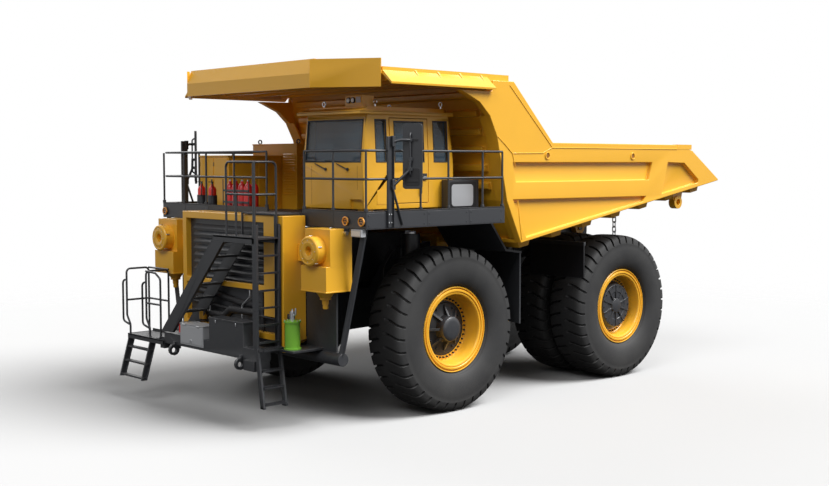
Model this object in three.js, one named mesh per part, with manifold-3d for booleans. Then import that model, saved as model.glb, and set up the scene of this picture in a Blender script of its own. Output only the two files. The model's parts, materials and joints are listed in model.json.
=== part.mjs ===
// A two-axle rigid mining dump truck with electric drive, of the 120 tonne class.
// Millimetres, +Z up, nose towards -Y, the driver's side (left) towards +X.
// Inside the file Y = 0 is the front axle, X = 0 the centre plane and Z = 0 the ground;
// the exported group is shifted so that the middle of its box on the ground is the origin.
import * as THREE from "three";
import { mergeVertices } from "three/addons/utils/BufferGeometryUtils.js";
import Module from "manifold-3d";

const wasm = await Module();
wasm.setup();

// ---------------------------------------------------------------- driving sizes
const wheelbase = 5150;
const tyreRadius = 1530;
const tyreWidth = 930;
const treadWidth = 830;
const beadWidth = 600;
const rimRadius = 700;
const flangeRadius = 790;
const frontTrackHalf = 2380;      // centre plane to the middle of a front tyre
const rearTrackHalf = 2300;       // centre plane to the middle of an outer rear tyre
const dualSpacing = 1040;
const kingpinHalf = 1520;
const axleHeight = tyreRadius;
const wheelSides = 24;

const seat = 0.3;                 // gap between pieces that touch
const pinGap = 4;                 // running gap round a pin
const restGap = 6;                // bed beam above its pad

const railInner = 500;
const railOuter = 720;
const railFrontY = -2560;
const railRearY = 6380;

const bedHalf = 3100;             // outer plane of the bed sides
const bedInner = 2960;
const bedFrontY = 1400;
const bedFrontZ = 3090;
const bedTailY = 8150;
const bedSlope = 0.1655;          // rise of the floor towards the tail
const bedRailTop = 5000;
const bedWall = 60;
const beamDepth = 300;
const padHeight = 50;
const pivotY = 5950;
const pivotZ = 3130;
const pivotRadius = 70;

const hoistHalf = 980;
const hoistFootY = 2850;
const hoistFootZ = 870;
const hoistHeadY = 3450;
const hoistHeadZ = 3110;
const hoistPin = 75;
const barrelRadius = 165;
const hoistInner = hoistHalf - barrelRadius - 25;
const barrelLength = 2155;
const rodRadius = 105;
const rodLength = 2115;

const deckHalf = 3180;
const deckFrontY = -2565;
const deckRearY = 850;
const deckTop = 3640;
const deckPlate = 60;
const skirtTop = 3800;
const skirtBottom = 3500;
const skirtWall = 40;

const cabInnerX = 730;
const cabOuterX = 2480;
const cabFrontY = -2000;
const cabRearY = 220;
const cabFloor = 3800;
const cabBelt = 4600;
const cabEaves = 5500;
const cabWall = 60;
const cabLean = 90;               // how far the upper front and rear walls lean in
const cabSideLean = 50;
const doorFrontY = -1367;
const doorRearY = -456;
const doorSill = 3900;
const doorHead = 5400;
const doorGap = 15;

const canopyHalf = 2970;
const canopyUnder = 6130;
const canopyTop = 6250;
const canopyNose = -2650;
const canopyLip = 6405;
const canopyRearY = 1180;

const railHigh = 4820;
const railMid = 4340;
const tubeRadius = 20;
const shelfTop = 1400;            // carries the grease tank
const mirrorX = 3350;
const mirrorY = -1655;
const mirrorWidth = 340;
const mirrorTurn = 34;            // degrees about the vertical, towards the operator

// ---------------------------------------------------------------- making solids
function cleaned(geometry) {
  const g = geometry.clone();
  g.deleteAttribute("normal");
  g.deleteAttribute("uv");
  return mergeVertices(g, 1e-4);
}

function solid(geometry) {
  const g = cleaned(geometry);
  const vertProperties = new Float32Array(g.attributes.position.array);
  const triVerts = new Uint32Array(g.index.array);
  return new wasm.Manifold(new wasm.Mesh({ numProp: 3, vertProperties, triVerts }));
}

function joined(...shapes) {
  return shapes.flat().reduce((sum, shape) => sum.add(shape));
}

function cut(body, ...tools) {
  return tools.flat().reduce((left, tool) => left.subtract(tool), body);
}

function box(x0, x1, y0, y1, z0, z1) {
  const g = new THREE.BoxGeometry(x1 - x0, y1 - y0, z1 - z0);
  g.translate((x0 + x1) / 2, (y0 + y1) / 2, (z0 + z1) / 2);
  return solid(g);
}

function bothSides(x0, x1, y0, y1, z0, z1) {
  return [box(x0, x1, y0, y1, z0, z1), box(-x1, -x0, y0, y1, z0, z1)];
}

// a box whose top rectangle differs from its bottom one: {x0, x1, y0, y1}
function taperedBox(low, zLow, high, zHigh) {
  const g = new THREE.BoxGeometry(1, 1, 1);
  const p = g.attributes.position;
  for (let i = 0; i < p.count; i += 1) {
    const rect = p.getZ(i) > 0 ? high : low;
    p.setXYZ(i, p.getX(i) > 0 ? rect.x1 : rect.x0, p.getY(i) > 0 ? rect.y1 : rect.y0,
      p.getZ(i) > 0 ? zHigh : zLow);
  }
  return solid(g);
}

function outline(points) {
  const shape = new THREE.Shape();
  points.forEach(([u, v], i) => (i === 0 ? shape.moveTo(u, v) : shape.lineTo(u, v)));
  shape.closePath();
  return shape;
}

function extruded(points, depth) {
  return new THREE.ExtrudeGeometry(outline(points), { depth, bevelEnabled: false, steps: 1 });
}

// a side profile of [y, z] points, swept from x0 to x1
function alongX(points, x0, x1) {
  const g = extruded(points, x1 - x0);
  g.rotateX(Math.PI / 2);
  g.rotateZ(Math.PI / 2);
  g.translate(x0, 0, 0);
  return solid(g);
}

// a front profile of [x, z] points, swept from y0 to y1
function alongY(points, y0, y1) {
  const g = extruded(points, y1 - y0);
  g.rotateX(Math.PI / 2);
  g.translate(0, y1, 0);
  return solid(g);
}

// a plan of [x, y] points, swept from z0 to z1
function alongZ(points, z0, z1) {
  const g = extruded(points, z1 - z0);
  g.translate(0, 0, z0);
  return solid(g);
}

// a round bar from one point to another
function bar(from, to, radius, sides = 6) {
  const a = new THREE.Vector3(...from);
  const b = new THREE.Vector3(...to);
  const span = b.clone().sub(a);
  const g = new THREE.CylinderGeometry(radius, radius, span.length(), sides);
  const turn = new THREE.Quaternion().setFromUnitVectors(new THREE.Vector3(0, 1, 0),
    span.clone().normalize());
  g.applyQuaternion(turn);
  g.translate((a.x + b.x) / 2, (a.y + b.y) / 2, (a.z + b.z) / 2);
  return solid(g);
}

// round bars from point to point, each run on a little so that the corners close
function route(points, radius, sides = 4) {
  const bars = [];
  for (let i = 1; i < points.length; i += 1) {
    const a = new THREE.Vector3(...points[i - 1]);
    const b = new THREE.Vector3(...points[i]);
    const over = b.clone().sub(a).setLength(radius * 0.9);
    const from = i > 1 ? a.clone().sub(over) : a;
    const to = i < points.length - 1 ? b.clone().add(over) : b;
    bars.push(bar(from.toArray(), to.toArray(), radius, sides));
  }
  return joined(bars);
}

// [radius, along] points turned about the X axis, centred on (x, y, z)
function turned(points, x, y, z, sides = wheelSides) {
  const profile = points.map(([r, a]) => new THREE.Vector2(r, a));
  profile.push(profile[0].clone());
  const g = new THREE.LatheGeometry(profile, sides);
  g.rotateY(Math.PI / sides);
  g.rotateZ(-Math.PI / 2);
  g.translate(x, y, z);
  let made = solid(g);
  if (made.volume() < 0) {
    g.index.array.reverse();
    made = solid(g);
  }
  return made;
}

function mirrored(shape) {
  return shape.mirror([1, 0, 0]);
}

const truck = new THREE.Group();

function finish(name, shape, color, roughness = 0.5, metalness = 0.1) {
  const mesh = shape.getMesh();
  const g = new THREE.BufferGeometry();
  g.setAttribute("position", new THREE.BufferAttribute(mesh.vertProperties, 3));
  g.setIndex(new THREE.BufferAttribute(mesh.triVerts, 1));
  const node = new THREE.Mesh(g, new THREE.MeshStandardMaterial({ color, roughness, metalness }));
  node.name = name;
  truck.add(node);
  return node;
}

const yellow = 0xe8a81c;
const darkGrey = 0x3c3f42;
const black = 0x1c1c1e;
const rubber = 0x262626;
const glass = 0x50606a;
const steel = 0xb8bcc0;

const floorUnder = (y) => bedFrontZ + bedSlope * (y - bedFrontY);
const railTop = (y) => floorUnder(y) - beamDepth - padHeight - restGap;

// ---------------------------------------------------------------- chassis frame
const railBottomFront = 1350;
const railBottomMid = 1450;
const hornTop = 1490;
const hornFrontY = -3300;
const padPlaces = [1750, 3000, 4250];
const hoistPlateY = [2200, 3560];

function makeFrame() {
  const side = [
    [hornFrontY, railBottomFront], [1150, railBottomMid], [1950, 2120], [6200, 2900],
    [railRearY, 2950], [railRearY, 3250], [pivotY - 50, railTop(pivotY - 50)], [1500, railTop(1500)],
    [900, 2250], [railFrontY, 2050], [railFrontY, hornTop], [hornFrontY, hornTop],
  ];
  const hanger = [
    [hoistPlateY[0], 2200], [hoistFootY - 170, hoistFootZ - 130], [hoistFootY + 170, hoistFootZ - 130],
    [hoistPlateY[1], 1620], [hoistPlateY[1], 2450],
  ];
  const parts = [
    alongX(side, railInner, railOuter), alongX(side, -railOuter, -railInner),
    alongX(hanger, railInner + 40, railOuter - 40), alongX(hanger, -railOuter + 40, -railInner - 40),
    box(-railInner - 1, railInner + 1, -2540, -2300, 1420, 1700),      // front cross member
    box(-railInner - 1, railInner + 1, -300, 300, 1460, 1560),         // below the engine
    box(-railInner - 1, railInner + 1, 1750, 2000, 2300, 2600),        // middle cross member
    box(-railInner - 60, railInner + 60, 3380, 3560, 1700, 1960),      // axle nose seat
    bar([-railInner - 1, 5950, 3080], [railInner + 1, 5950, 3080], 190, 12),
    bar([-hoistHalf - 130, hoistFootY, hoistFootZ], [hoistHalf + 130, hoistFootY, hoistFootZ], hoistPin, 12),
    bar([-hoistInner, hoistFootY, hoistFootZ], [hoistInner, hoistFootY, hoistFootZ], 120, 12),
    bar([-railOuter - 175, pivotY, pivotZ], [railOuter + 175, pivotY, pivotZ], pivotRadius, 12),
  ];
  // towers that carry the front struts
  const towerBox = alongY([[railOuter - 30, 1800], [1330, 2260], [1330, 3050], [railOuter - 30, 2200]],
    -330, 330);
  parts.push(towerBox, mirrored(towerBox));
  // outriggers and flaps ahead of the rear wheels
  const flap = [
    box(railOuter - 30, 2760, 3725, 3785, 2900, 2980),
    box(1300, 2760, 3725, 3750, 2240, 2901),
  ];
  parts.push(...flap, ...flap.map(mirrored));
  return joined(parts);
}

// ---------------------------------------------------------------- bumper and its boxes
const bumperFrontY = -3600;
const bumperBackY = -3300 - seat;

function makeBumper() {
  const beam = box(-1500, 1500, bumperFrontY, bumperBackY, 1190, 1400);
  const step = box(1180, 1500, bumperFrontY - 60, bumperBackY - 20, 1020, 1200);
  const darkBox = box(30, 1100, bumperFrontY, bumperBackY, 1390, 1820);
  const greyBox = box(-900, -150, bumperFrontY - 10, bumperBackY, 1250, 1620);
  const rearPlate = bothSides(railInner - 60, railOuter + 60, bumperBackY - 60, bumperBackY, 1380, 1500);
  const eyes = [-1100, 1050].map((x) => cut(
    joined(bar([x - 30, -3640, 1110], [x + 30, -3640, 1110], 110, 12),
      box(x - 30, x + 30, -3640, -3500, 1120, 1260)),
    bar([x - 31, -3650, 1100], [x + 31, -3650, 1100], 50, 12)));
  return joined(beam, step, darkBox, greyBox, rearPlate, eyes);
}

function makeGreaseTank() {
  const x = 1840;
  const y = -3090;
  return joined(bar([x, y, shelfTop + seat], [x, y, 1920], 140, 14),
    bar([x, y, 1919], [x, y, 2080], 50, 12));
}

// ---------------------------------------------------------------- radiator and engine
const radiatorHalf = 1600;
const radiatorFrontY = -3100;
const radiatorBackY = -2600;
const radiatorTop = 3690;
const coreHalf = 1480;

function makeRadiatorFrame() {
  const shell = joined(
    box(-radiatorHalf, radiatorHalf, radiatorFrontY, radiatorBackY, hornTop + seat, radiatorTop),
    bothSides(coreHalf, radiatorHalf, radiatorFrontY, -2720, 1300, 1700));
  const core = box(-coreHalf, coreHalf, radiatorFrontY - 1, radiatorBackY + 1, 1600, 3560);
  const middleBar = box(-coreHalf - 1, coreHalf + 1, radiatorFrontY, radiatorFrontY + 90, 2340, 2440);
  const leftPanel = box(1030, coreHalf + 1, radiatorFrontY, radiatorFrontY + 45, 1900, 3561);
  return joined(cut(shell, core), middleBar, leftPanel);
}

function makeRadiatorCore() {
  const y0 = radiatorFrontY + 110;
  const block = box(-coreHalf + seat, coreHalf - seat, y0, radiatorBackY - 40, 1600 + seat, 3560 - seat);
  const louvres = [];
  for (let z = 2520; z < 3450; z += 130) {
    louvres.push(alongX([[y0 + 1, z], [y0 - 60, z - 60], [y0 - 60, z - 40], [y0 + 1, z + 30]], -1300, 1300));
  }
  return joined(block, louvres);
}

function makeEngine() {
  return joined(box(-470, 470, -2200, 1200, 1560 + seat, 2400),
    box(-620, 620, -2200, 850, 2299, 3250));
}

// ---------------------------------------------------------------- deck
function makeDeck() {
  const plate = box(-deckHalf, deckHalf, deckFrontY, deckRearY, deckTop - deckPlate, deckTop);
  const skirts = [
    box(-deckHalf, deckHalf, deckFrontY, deckFrontY + skirtWall, skirtBottom, skirtTop),
    ...bothSides(deckHalf - skirtWall, deckHalf, deckFrontY, deckRearY, skirtBottom, skirtTop),
    box(-deckHalf, deckHalf, deckRearY - skirtWall, deckRearY, skirtBottom, skirtTop - 100),
  ];
  const beams = [-2100, -1000, 100].map((y) => box(-deckHalf + 1, deckHalf - 1, y, y + 80, skirtBottom, deckTop - 1));
  const doorWay = box(420, 1460, deckFrontY - 1, deckFrontY + skirtWall + 1, deckTop, skirtTop + 1);
  // mudguards that run down behind the front wheels, set back inboard for the steered tyre
  const guardInner = 1250;
  const guardOuter = 2800;
  const slope = [[deckRearY - 40, 3560], [deckRearY, 3580], [1330, 2960], [1760, 2900], [1760, 2860], [1300, 2925]];
  const plan = [[guardInner, 2050], [1820, 2050], [guardOuter, 1700], [guardOuter, 1740], [1830, 2090],
    [guardInner, 2090]];
  const ledge = [[guardInner, 1720], [guardOuter, 1720], [guardOuter, 1740], [1830, 2090], [guardInner, 2090]];
  const guard = joined(alongX(slope, guardInner, guardOuter), alongZ(plan, 1490, 2880), alongZ(ledge, 2860, 2900));
  const guards = [guard, mirrored(guard)];
  const posts = bothSides(640, 715, -1040, -880, 2147 + seat, skirtBottom + 1);
  return joined(cut(joined(plate, skirts, beams), doorWay), guards, posts);
}

function makeDeckSupport() {
  const z = 1240;
  const tube = bar([-2600, -2580, z], [2600, -2580, z], 115, 14);
  const strut = bar([2540, -2580, z + 40], [3100, -2490, 3600], 62, 4);
  const above = box(2900, 3300, -2700, -2300, skirtBottom - seat, 3800);
  const left = [cut(strut, above), box(radiatorHalf + 10, 2440, -2595, -2565, z + 50, 2370)];
  const shelf = box(radiatorHalf + 10, 2080, -3260, -2590, shelfTop - 40, shelfTop);
  return joined(tube, left, left.map(mirrored), shelf);
}

// ---------------------------------------------------------------- hand rails
function railRun(points, posts) {
  const top = points.map(([x, y]) => [x, y, railHigh]);
  const mid = points.map(([x, y]) => [x, y, railMid]);
  const uprights = posts.map(([x, y]) => bar([x, y, skirtTop + seat], [x, y, railHigh], tubeRadius, 4));
  return joined(route(top, tubeRadius), route(mid, tubeRadius), uprights);
}

const railX = deckHalf - skirtWall / 2;
const railY = deckFrontY + skirtWall / 2;

function makeLeftHandrail() {
  return railRun([[1500, railY], [railX, railY], [railX, deckRearY - 50]],
    [[1500, railY], [2300, railY], [railX, railY], [railX, -1970], [railX, -1290], [railX, -610],
      [railX, 270], [railX, deckRearY - 50]]);
}

function makeRightHandrail() {
  return railRun([[380, railY], [-railX, railY], [-railX, deckRearY - 50]],
    [[380, railY], [-660, railY], [-1610, railY], [-2400, railY], [-railX, railY], [-railX, -1700],
      [-railX, -850], [-railX, 0], [-railX, deckRearY - 50]]);
}

// ---------------------------------------------------------------- ways up to the deck
const stairFrontY = -3640;
const stairBackY = -3130;

function makeStair() {
  const lowX = -1400;
  const lowZ = 1430;
  const highX = 420;
  const highZ = 3330;
  const plateWidth = 260;
  const stringer = [[lowX - 130, lowZ], [lowX + plateWidth, lowZ], [highX + plateWidth, highZ],
    [highX - 130, highZ]];
  const parts = [
    alongY(stringer, stairFrontY, stairFrontY + 35),
    alongY(stringer, stairBackY - 35, stairBackY),
  ];
  const treads = 7;
  for (let i = 0; i < treads; i += 1) {
    const t = (i + 0.6) / treads;
    const x = lowX + 50 + t * (highX - lowX);
    const z = lowZ + t * (highZ - lowZ);
    parts.push(box(x - 60, x + 160, stairFrontY + 1, stairBackY - 1, z - 35, z));
  }
  parts.push(box(250, 1500, stairFrontY, stairBackY, 3270, 3330));
  parts.push(box(420, 1460, stairBackY - 1, deckFrontY - seat, 3700, 3730));
  parts.push(...[440, 1420].map((x) => box(x, x + 30, stairBackY - 31, stairBackY, 3300, 3729)));
  // rails round the landing, open towards the stair and the deck
  const top = 4630;
  const middle = 4070;
  const [startX, endX] = [650, 1480];
  const [nearY, farY] = [stairFrontY + 17, stairBackY - 17];
  parts.push(
    route([[startX, nearY, 3329], [startX, nearY, top], [endX, nearY, top], [endX, farY, top],
      [endX, farY, 3329]], tubeRadius),
    bar([endX, nearY, 3300], [endX, nearY, top], tubeRadius, 4),
    bar([startX, nearY, middle], [endX, nearY, middle], tubeRadius, 4),
    bar([endX, farY, middle], [endX, nearY, middle], tubeRadius, 4));
  return joined(parts);
}

function makeLeftLadder() {
  const x = 1500 + seat;
  const parts = [];
  for (const y of [stairFrontY, stairBackY - 40]) {
    parts.push(box(x, x + 60, y, y + 40, 1420, 3560));
    parts.push(alongY([[x, 1421], [x + 60, 1421], [x + 230, 400], [x + 170, 400]], y, y + 40));
  }
  for (let z = 1500; z < 3500; z += 300) {
    parts.push(box(x + 5, x + 55, stairFrontY + 1, stairBackY - 1, z, z + 30));
  }
  for (const z of [420, 720, 1020, 1320]) {
    const lean = (1421 - z) * 0.1665;
    parts.push(box(x + lean, x + lean + 60, stairFrontY + 1, stairBackY - 1, z, z + 30));
  }
  return joined(parts);
}

const landingTop = 1240;

function makeRightLanding() {
  const floor = box(-2800, -1500 - seat, -3640, -3060, landingTop - 60, landingTop);
  const bracket = box(-2700, -1560, -3400, -3340, 1080, landingTop - 59);
  const arm = box(-1650, -1500 - seat, -3600, -3340, 1080, 1300);
  const parts = [floor, bracket, arm];
  for (const x of [-2800, -2020]) {
    parts.push(alongX([[-3600, 1200], [-3520, 1200], [-3760, 420], [-3840, 420]], x, x + 60));
  }
  for (const z of [440, 700, 960]) {
    const y = -3560 - (1200 - z) * 0.3077;
    parts.push(box(-2799, -1961, y - 35, y + 35, z, z + 30));
  }
  const top = 2560;
  const loops = [
    [[-2780, -3600, landingTop - 10], [-2780, -3600, top], [-2780, -3100, top], [-2780, -3100, landingTop - 10]],
    [[-1980, -3600, landingTop - 10], [-1980, -3600, top], [-1980, -3100, top], [-1980, -3100, landingTop - 10]],
  ];
  loops.forEach((points) => parts.push(route(points, tubeRadius)));
  for (const x of [-2780, -1980]) {
    parts.push(bar([x, -3600, 1900], [x, -3100, 1900], tubeRadius, 4));
  }
  parts.push(bar([-2780, -3100, 1900], [-1980, -3100, 1900], tubeRadius, 4));
  parts.push(bar([-2780, -3100, top], [-1980, -3100, top], tubeRadius, 4));
  return joined(parts);
}

// ---------------------------------------------------------------- cab
function cabTier(inset) {
  const low = { x0: cabInnerX + inset, x1: cabOuterX - inset, y0: cabFrontY + inset, y1: cabRearY - inset };
  const high = { x0: low.x0 + cabSideLean, x1: low.x1 - cabSideLean, y0: low.y0 + cabLean, y1: low.y1 - cabLean };
  return { low, high };
}

function cabHull(inset, zLow, zHigh) {
  const { low, high } = cabTier(inset);
  return joined(taperedBox(low, zLow, low, cabBelt), taperedBox(low, cabBelt - 0.01, high, zHigh));
}

const windowSill = 4620;
const windowHead = 5380;
const pillar = 90;                // of the front and rear windows, from the cab's side

function doorOpening(grow) {
  return box(cabOuterX - 260, cabOuterX + 60, doorFrontY - grow, doorRearY + grow,
    doorSill - grow, doorHead + grow);
}

const doorHinges = [4000, 4450];   // foot of each hinge barrel
const hingeX = cabOuterX + 10;
const hingeBarrel = 100;

function makeCabBody() {
  const shell = cut(cabHull(0, cabFloor, cabEaves), cabHull(cabWall, cabFloor + 80, cabEaves + 1));
  const windows = [
    box(cabInnerX + pillar, cabOuterX - pillar, cabFrontY - 50, cabFrontY + 300, windowSill, windowHead),
    box(cabInnerX + pillar, cabOuterX - pillar, cabRearY - 300, cabRearY + 50, windowSill, windowHead),
    box(cabInnerX - 50, cabInnerX + 300, cabFrontY + 260, cabRearY - 260, windowSill, windowHead),
    box(cabOuterX - 300, cabOuterX + 50, -310, 60, windowSill, windowHead),
    box(cabOuterX - 300, cabOuterX + 50, -1720, -1450, windowSill, windowHead),
  ];
  const feet = [];
  for (const x of [cabInnerX + 120, cabOuterX - 320]) {
    for (const y of [cabFrontY + 120, cabRearY - 320]) {
      feet.push(box(x, x + 200, y, y + 200, deckTop + seat, cabFloor + 1));
    }
  }
  const footwell = box(cabOuterX - 380, cabOuterX - 30, cabFrontY - 1, cabFrontY + 50, cabFloor - 1, cabFloor + 170);
  const lugs = doorHinges.map((z) => box(cabOuterX - 1, hingeX + 14, doorFrontY - doorGap - 20,
    doorFrontY + 14, z - 40, z - seat));
  return joined(cut(shell, windows, footwell, doorOpening(doorGap)), feet, lugs);
}

function makeCabRoof() {
  const { high } = cabTier(0);
  const slab = box(high.x0 - 30, high.x1 + 30, high.y0 - 170, high.y1 + 40, cabEaves + seat, cabEaves + 110);
  const lampBox = box(1820, 2280, high.y0 + 40, high.y0 + 320, cabEaves + 109, cabEaves + 300);
  return joined(slab, lampBox);
}

function glassPane(x0, x1, y0, y1, z0, z1) {
  const pane = cabHull(18, cabFloor, cabEaves).subtract(cabHull(42, cabFloor, cabEaves));
  return pane.intersect(box(x0, x1, y0, y1, z0, z1));
}

function makeWindscreen() {
  return glassPane(cabInnerX + pillar + seat, cabOuterX - pillar - seat, cabFrontY - 50, cabFrontY + 300,
    windowSill + seat, windowHead - seat);
}

function makeRearGlass() {
  return glassPane(cabInnerX + pillar + seat, cabOuterX - pillar - seat, cabRearY - 300, cabRearY + 50,
    windowSill + seat, windowHead - seat);
}

function makeRightGlass() {
  return glassPane(cabInnerX - 50, cabInnerX + 300, cabFrontY + 260 + seat, cabRearY - 260 - seat,
    windowSill + seat, windowHead - seat);
}

function makeDoor() {
  const skin = cut(cabHull(0, cabFloor, cabEaves), cabHull(cabWall, cabFloor, cabEaves));
  const leaf = skin.intersect(doorOpening(0));
  const opening = box(cabOuterX - 300, cabOuterX + 100, doorFrontY + 90, doorRearY - 90, windowSill, windowHead - 20);
  const pockets = doorHinges.map((z) => box(cabOuterX - 45, cabOuterX + 60, doorFrontY - 5, doorFrontY + 45,
    z - 50, z));
  const barrels = doorHinges.map((z) => bar([hingeX, doorFrontY, z], [hingeX, doorFrontY, z + hingeBarrel], 14, 8));
  return joined(cut(leaf, opening, pockets), barrels);
}

function makeDoorGlass() {
  return glassPane(cabOuterX - 300, cabOuterX + 100, doorFrontY + 90 + seat, doorRearY - 90 - seat,
    windowSill + seat, windowHead - 20 - seat);
}

function makeSeat() {
  const floor = cabFloor + 80 + seat;
  return joined(box(1420, 1760, -900, -560, floor, 4240),
    box(1330, 1850, -1010, -470, 4220, 4360),
    alongX([[-560, 4300], [-430, 4300], [-330, 5020], [-440, 5020]], 1350, 1830));
}

function makeSteeringColumn() {
  const floor = cabFloor + 80 + seat;
  const column = bar([1590, -1560, floor + 30], [1590, -1330, 4560], 45, 12);
  const base = box(1500, 1680, -1640, -1480, floor, floor + 90);
  const ring = new THREE.TorusGeometry(210, 20, 5, 14);
  ring.rotateX(0.36);
  ring.translate(1590, -1320, 4570);
  const spokes = [bar([1385, -1320, 4570], [1795, -1320, 4570], 16, 6)];
  return joined(column, base, solid(ring), spokes);
}

// ---------------------------------------------------------------- things on the deck and the nose
function makeAirCleaner() {
  const x = 2380;
  const under = skirtBottom - seat;
  const body = alongX([[-3050, 2430], [-2480, 2430], [-2480, under], [-2960, under], [-2960, 2880], [-3050, 2860]],
    x - 340, x + 340);
  const drum = bar([x, -3170, 3130], [x, -2959, 3130], 250, 24);
  const cup = [bar([x, -2790, 2300], [x, -2790, 2431], 120, 12), bar([x, -2790, 2080], [x, -2790, 2301], 45, 12)];
  const duct = box(radiatorHalf + seat, x - 339, -2780, -2560, 2900, 3200);
  return joined(body, drum, cup, duct);
}

function makeControlCabinet() {
  return box(-3050, -2000, -1750, -420, deckTop + seat, 4760);
}

function makeGridBox() {
  return box(-3050, -1500, -400, 560, deckTop + seat, 5010);
}

function makeFireSet() {
  const base = box(-2320, -320, -2430, -2130, deckTop + seat, deckTop + 40);
  const bottles = [-2180, -1800].map((x) => bar([x, -2280, deckTop + 39], [x, -2280, deckTop + 560], 90, 14));
  const rack = box(-1200, -330, -2420, -2140, deckTop + 39, deckTop + 640);
  return joined(base, bottles, rack);
}

// stands behind the cab with a shallow part running forward beside it
function makeBatteryBox() {
  return joined(box(2500, 2660, -130, 690, deckTop + seat, 4300),
    box(1900, 2501, 260, 690, deckTop + seat, 4300));
}

// a post bolted to the outside of the deck skirt that holds the glass clear of the body
function makeMirror() {
  const x = deckHalf + seat;
  const y = -2030;
  const post = box(x, x + 35, y - 60, y + 60, 3520, 5060);
  const brace = bar([x + 20, y + 30, 4230], [x + 20, y + 280, 3560], 18, 4);
  const arms = [4300, 5000].map((z) => bar([x + 20, y + 30, z], [mirrorX, mirrorY, z + 20], 22, 6));
  const g = new THREE.BoxGeometry(mirrorWidth, 50, 1110);
  g.rotateZ(mirrorTurn * Math.PI / 180);
  g.translate(mirrorX, mirrorY, 4725);
  return joined(post, brace, arms, solid(g));
}

// ---------------------------------------------------------------- tanks
function tank(x0, x1, y0, y1, bottom, top) {
  const body = alongX([[y0, bottom + 100], [y0 + 60, bottom], [y1 - 60, bottom], [y1, bottom + 100],
    [y1, top], [y0, top]], x0, x1);
  const saddle = box(railOuter + seat, x0 + 1, y0 + 150, y0 + 350, top - 150, top - 10);
  return joined(body, saddle);
}

// ---------------------------------------------------------------- front suspension and steering
const strutRadius = 185;
const strutBottom = 1960;
const strutTop = 3260;
const kingRod = 130;
const armY = 600;
const armZ = 1250;
const tieRadius = 55;

function makeStrut() {
  const barrel = bar([kingpinHalf, 0, strutBottom], [kingpinHalf, 0, strutTop], strutRadius, 14);
  const socket = bar([kingpinHalf, 0, strutBottom - 1], [kingpinHalf, 0, strutBottom + 220], kingRod + pinGap, 14);
  const flange = box(1330 + seat, kingpinHalf - 60, -200, 200, 2300, 3000);
  return joined(cut(joined(barrel, flange), socket));
}

function makeKnuckle() {
  const spindleEnd = frontTrackHalf + 180;
  return joined(
    bar([kingpinHalf, 0, 1500], [kingpinHalf, 0, strutBottom + 210], kingRod, 14),
    box(kingpinHalf - 190, kingpinHalf + 200, -200, 200, 1290, 1790),
    bar([kingpinHalf, 0, axleHeight], [spindleEnd, 0, axleHeight], 170, 14),
    bar([kingpinHalf + 190, 0, axleHeight], [kingpinHalf + 240, 0, axleHeight], 380, 14),
    bar([kingpinHalf + 330, 0, axleHeight], [kingpinHalf + 620, 0, axleHeight], 430, 14),
    bar([kingpinHalf + 200, 0, axleHeight], [kingpinHalf + 340, 0, axleHeight], 300, 14),
    box(kingpinHalf - 90, kingpinHalf + 90, 150, armY + 60, armZ + tieRadius + 15, armZ + tieRadius + 95),
    bar([kingpinHalf, armY, armZ - 60], [kingpinHalf, armY, armZ + tieRadius + 90], 40, 12));
}

function makeTieRod() {
  const eye = (x) => cut(bar([x, armY, armZ - tieRadius], [x, armY, armZ + tieRadius], 95, 12),
    bar([x, armY, armZ - 100], [x, armY, armZ + 100], 40 + pinGap, 12));
  const shank = bar([-kingpinHalf + 80, armY, armZ], [kingpinHalf - 80, armY, armZ], tieRadius - 8, 12);
  return joined(eye(kingpinHalf), eye(-kingpinHalf), shank);
}

// ---------------------------------------------------------------- wheels
const halfTyre = tyreWidth / 2;
const halfTread = treadWidth / 2;
const halfBead = beadWidth / 2;
const flangeWall = 40;

// the flats of the turned tyre touch the ground, so its corners stand a little proud
const flatScale = 1 / Math.cos(Math.PI / wheelSides);

function makeTyre(x, y) {
  const half = [
    [rimRadius, halfBead], [flangeRadius + 4, halfBead], [900, halfBead + 100], [1080, halfTyre - 2],
    [1340, halfTyre - 6], [1470, halfTread - 2], [tyreRadius, halfTread - 110],
  ];
  const other = half.map(([r, a]) => [r, -a]).reverse();
  const profile = [...half, ...other].map(([r, a]) => [r * flatScale, a]);
  return turned(profile, x, y, axleHeight);
}

const barrelInner = 645;

function makeFrontRim() {
  const f = halfBead + seat;
  const profile = [
    [0, 270], [200, 270], [300, 190], [300, 110], [barrelInner, 110], [barrelInner, f + flangeWall],
    [flangeRadius, f + flangeWall], [flangeRadius, f], [rimRadius * flatScale - seat, f],
    [rimRadius * flatScale - seat, -f], [flangeRadius, -f], [flangeRadius, -f - flangeWall],
    [barrelInner, -f - flangeWall], [barrelInner, 60], [260, 60], [260, -190], [176, -190], [176, 190], [0, 190],
  ];
  return turned(profile, frontTrackHalf, 0, axleHeight);
}

function makeRearRim() {
  const f = halfBead + seat;
  const r = rimRadius * flatScale - seat;
  const profile = [
    [0, 240], [340, 240], [400, 190], [400, 60], [barrelInner, 60], [barrelInner, f + flangeWall],
    [flangeRadius, f + flangeWall], [flangeRadius, f], [r, f], [r, -f], [flangeRadius, -f],
    [flangeRadius, -f - flangeWall], [r, -f - flangeWall],
    [r, -dualSpacing + f + flangeWall], [flangeRadius, -dualSpacing + f + flangeWall],
    [flangeRadius, -dualSpacing + f], [r, -dualSpacing + f],
    [r, -dualSpacing - f], [flangeRadius, -dualSpacing - f], [flangeRadius, -dualSpacing - f - flangeWall],
    [barrelInner, -dualSpacing - f - flangeWall], [barrelInner, -20], [300, -20], [300, -120], [206, -120],
    [206, 40], [0, 40],
  ];
  return turned(profile, rearTrackHalf, wheelbase, axleHeight);
}

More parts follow.
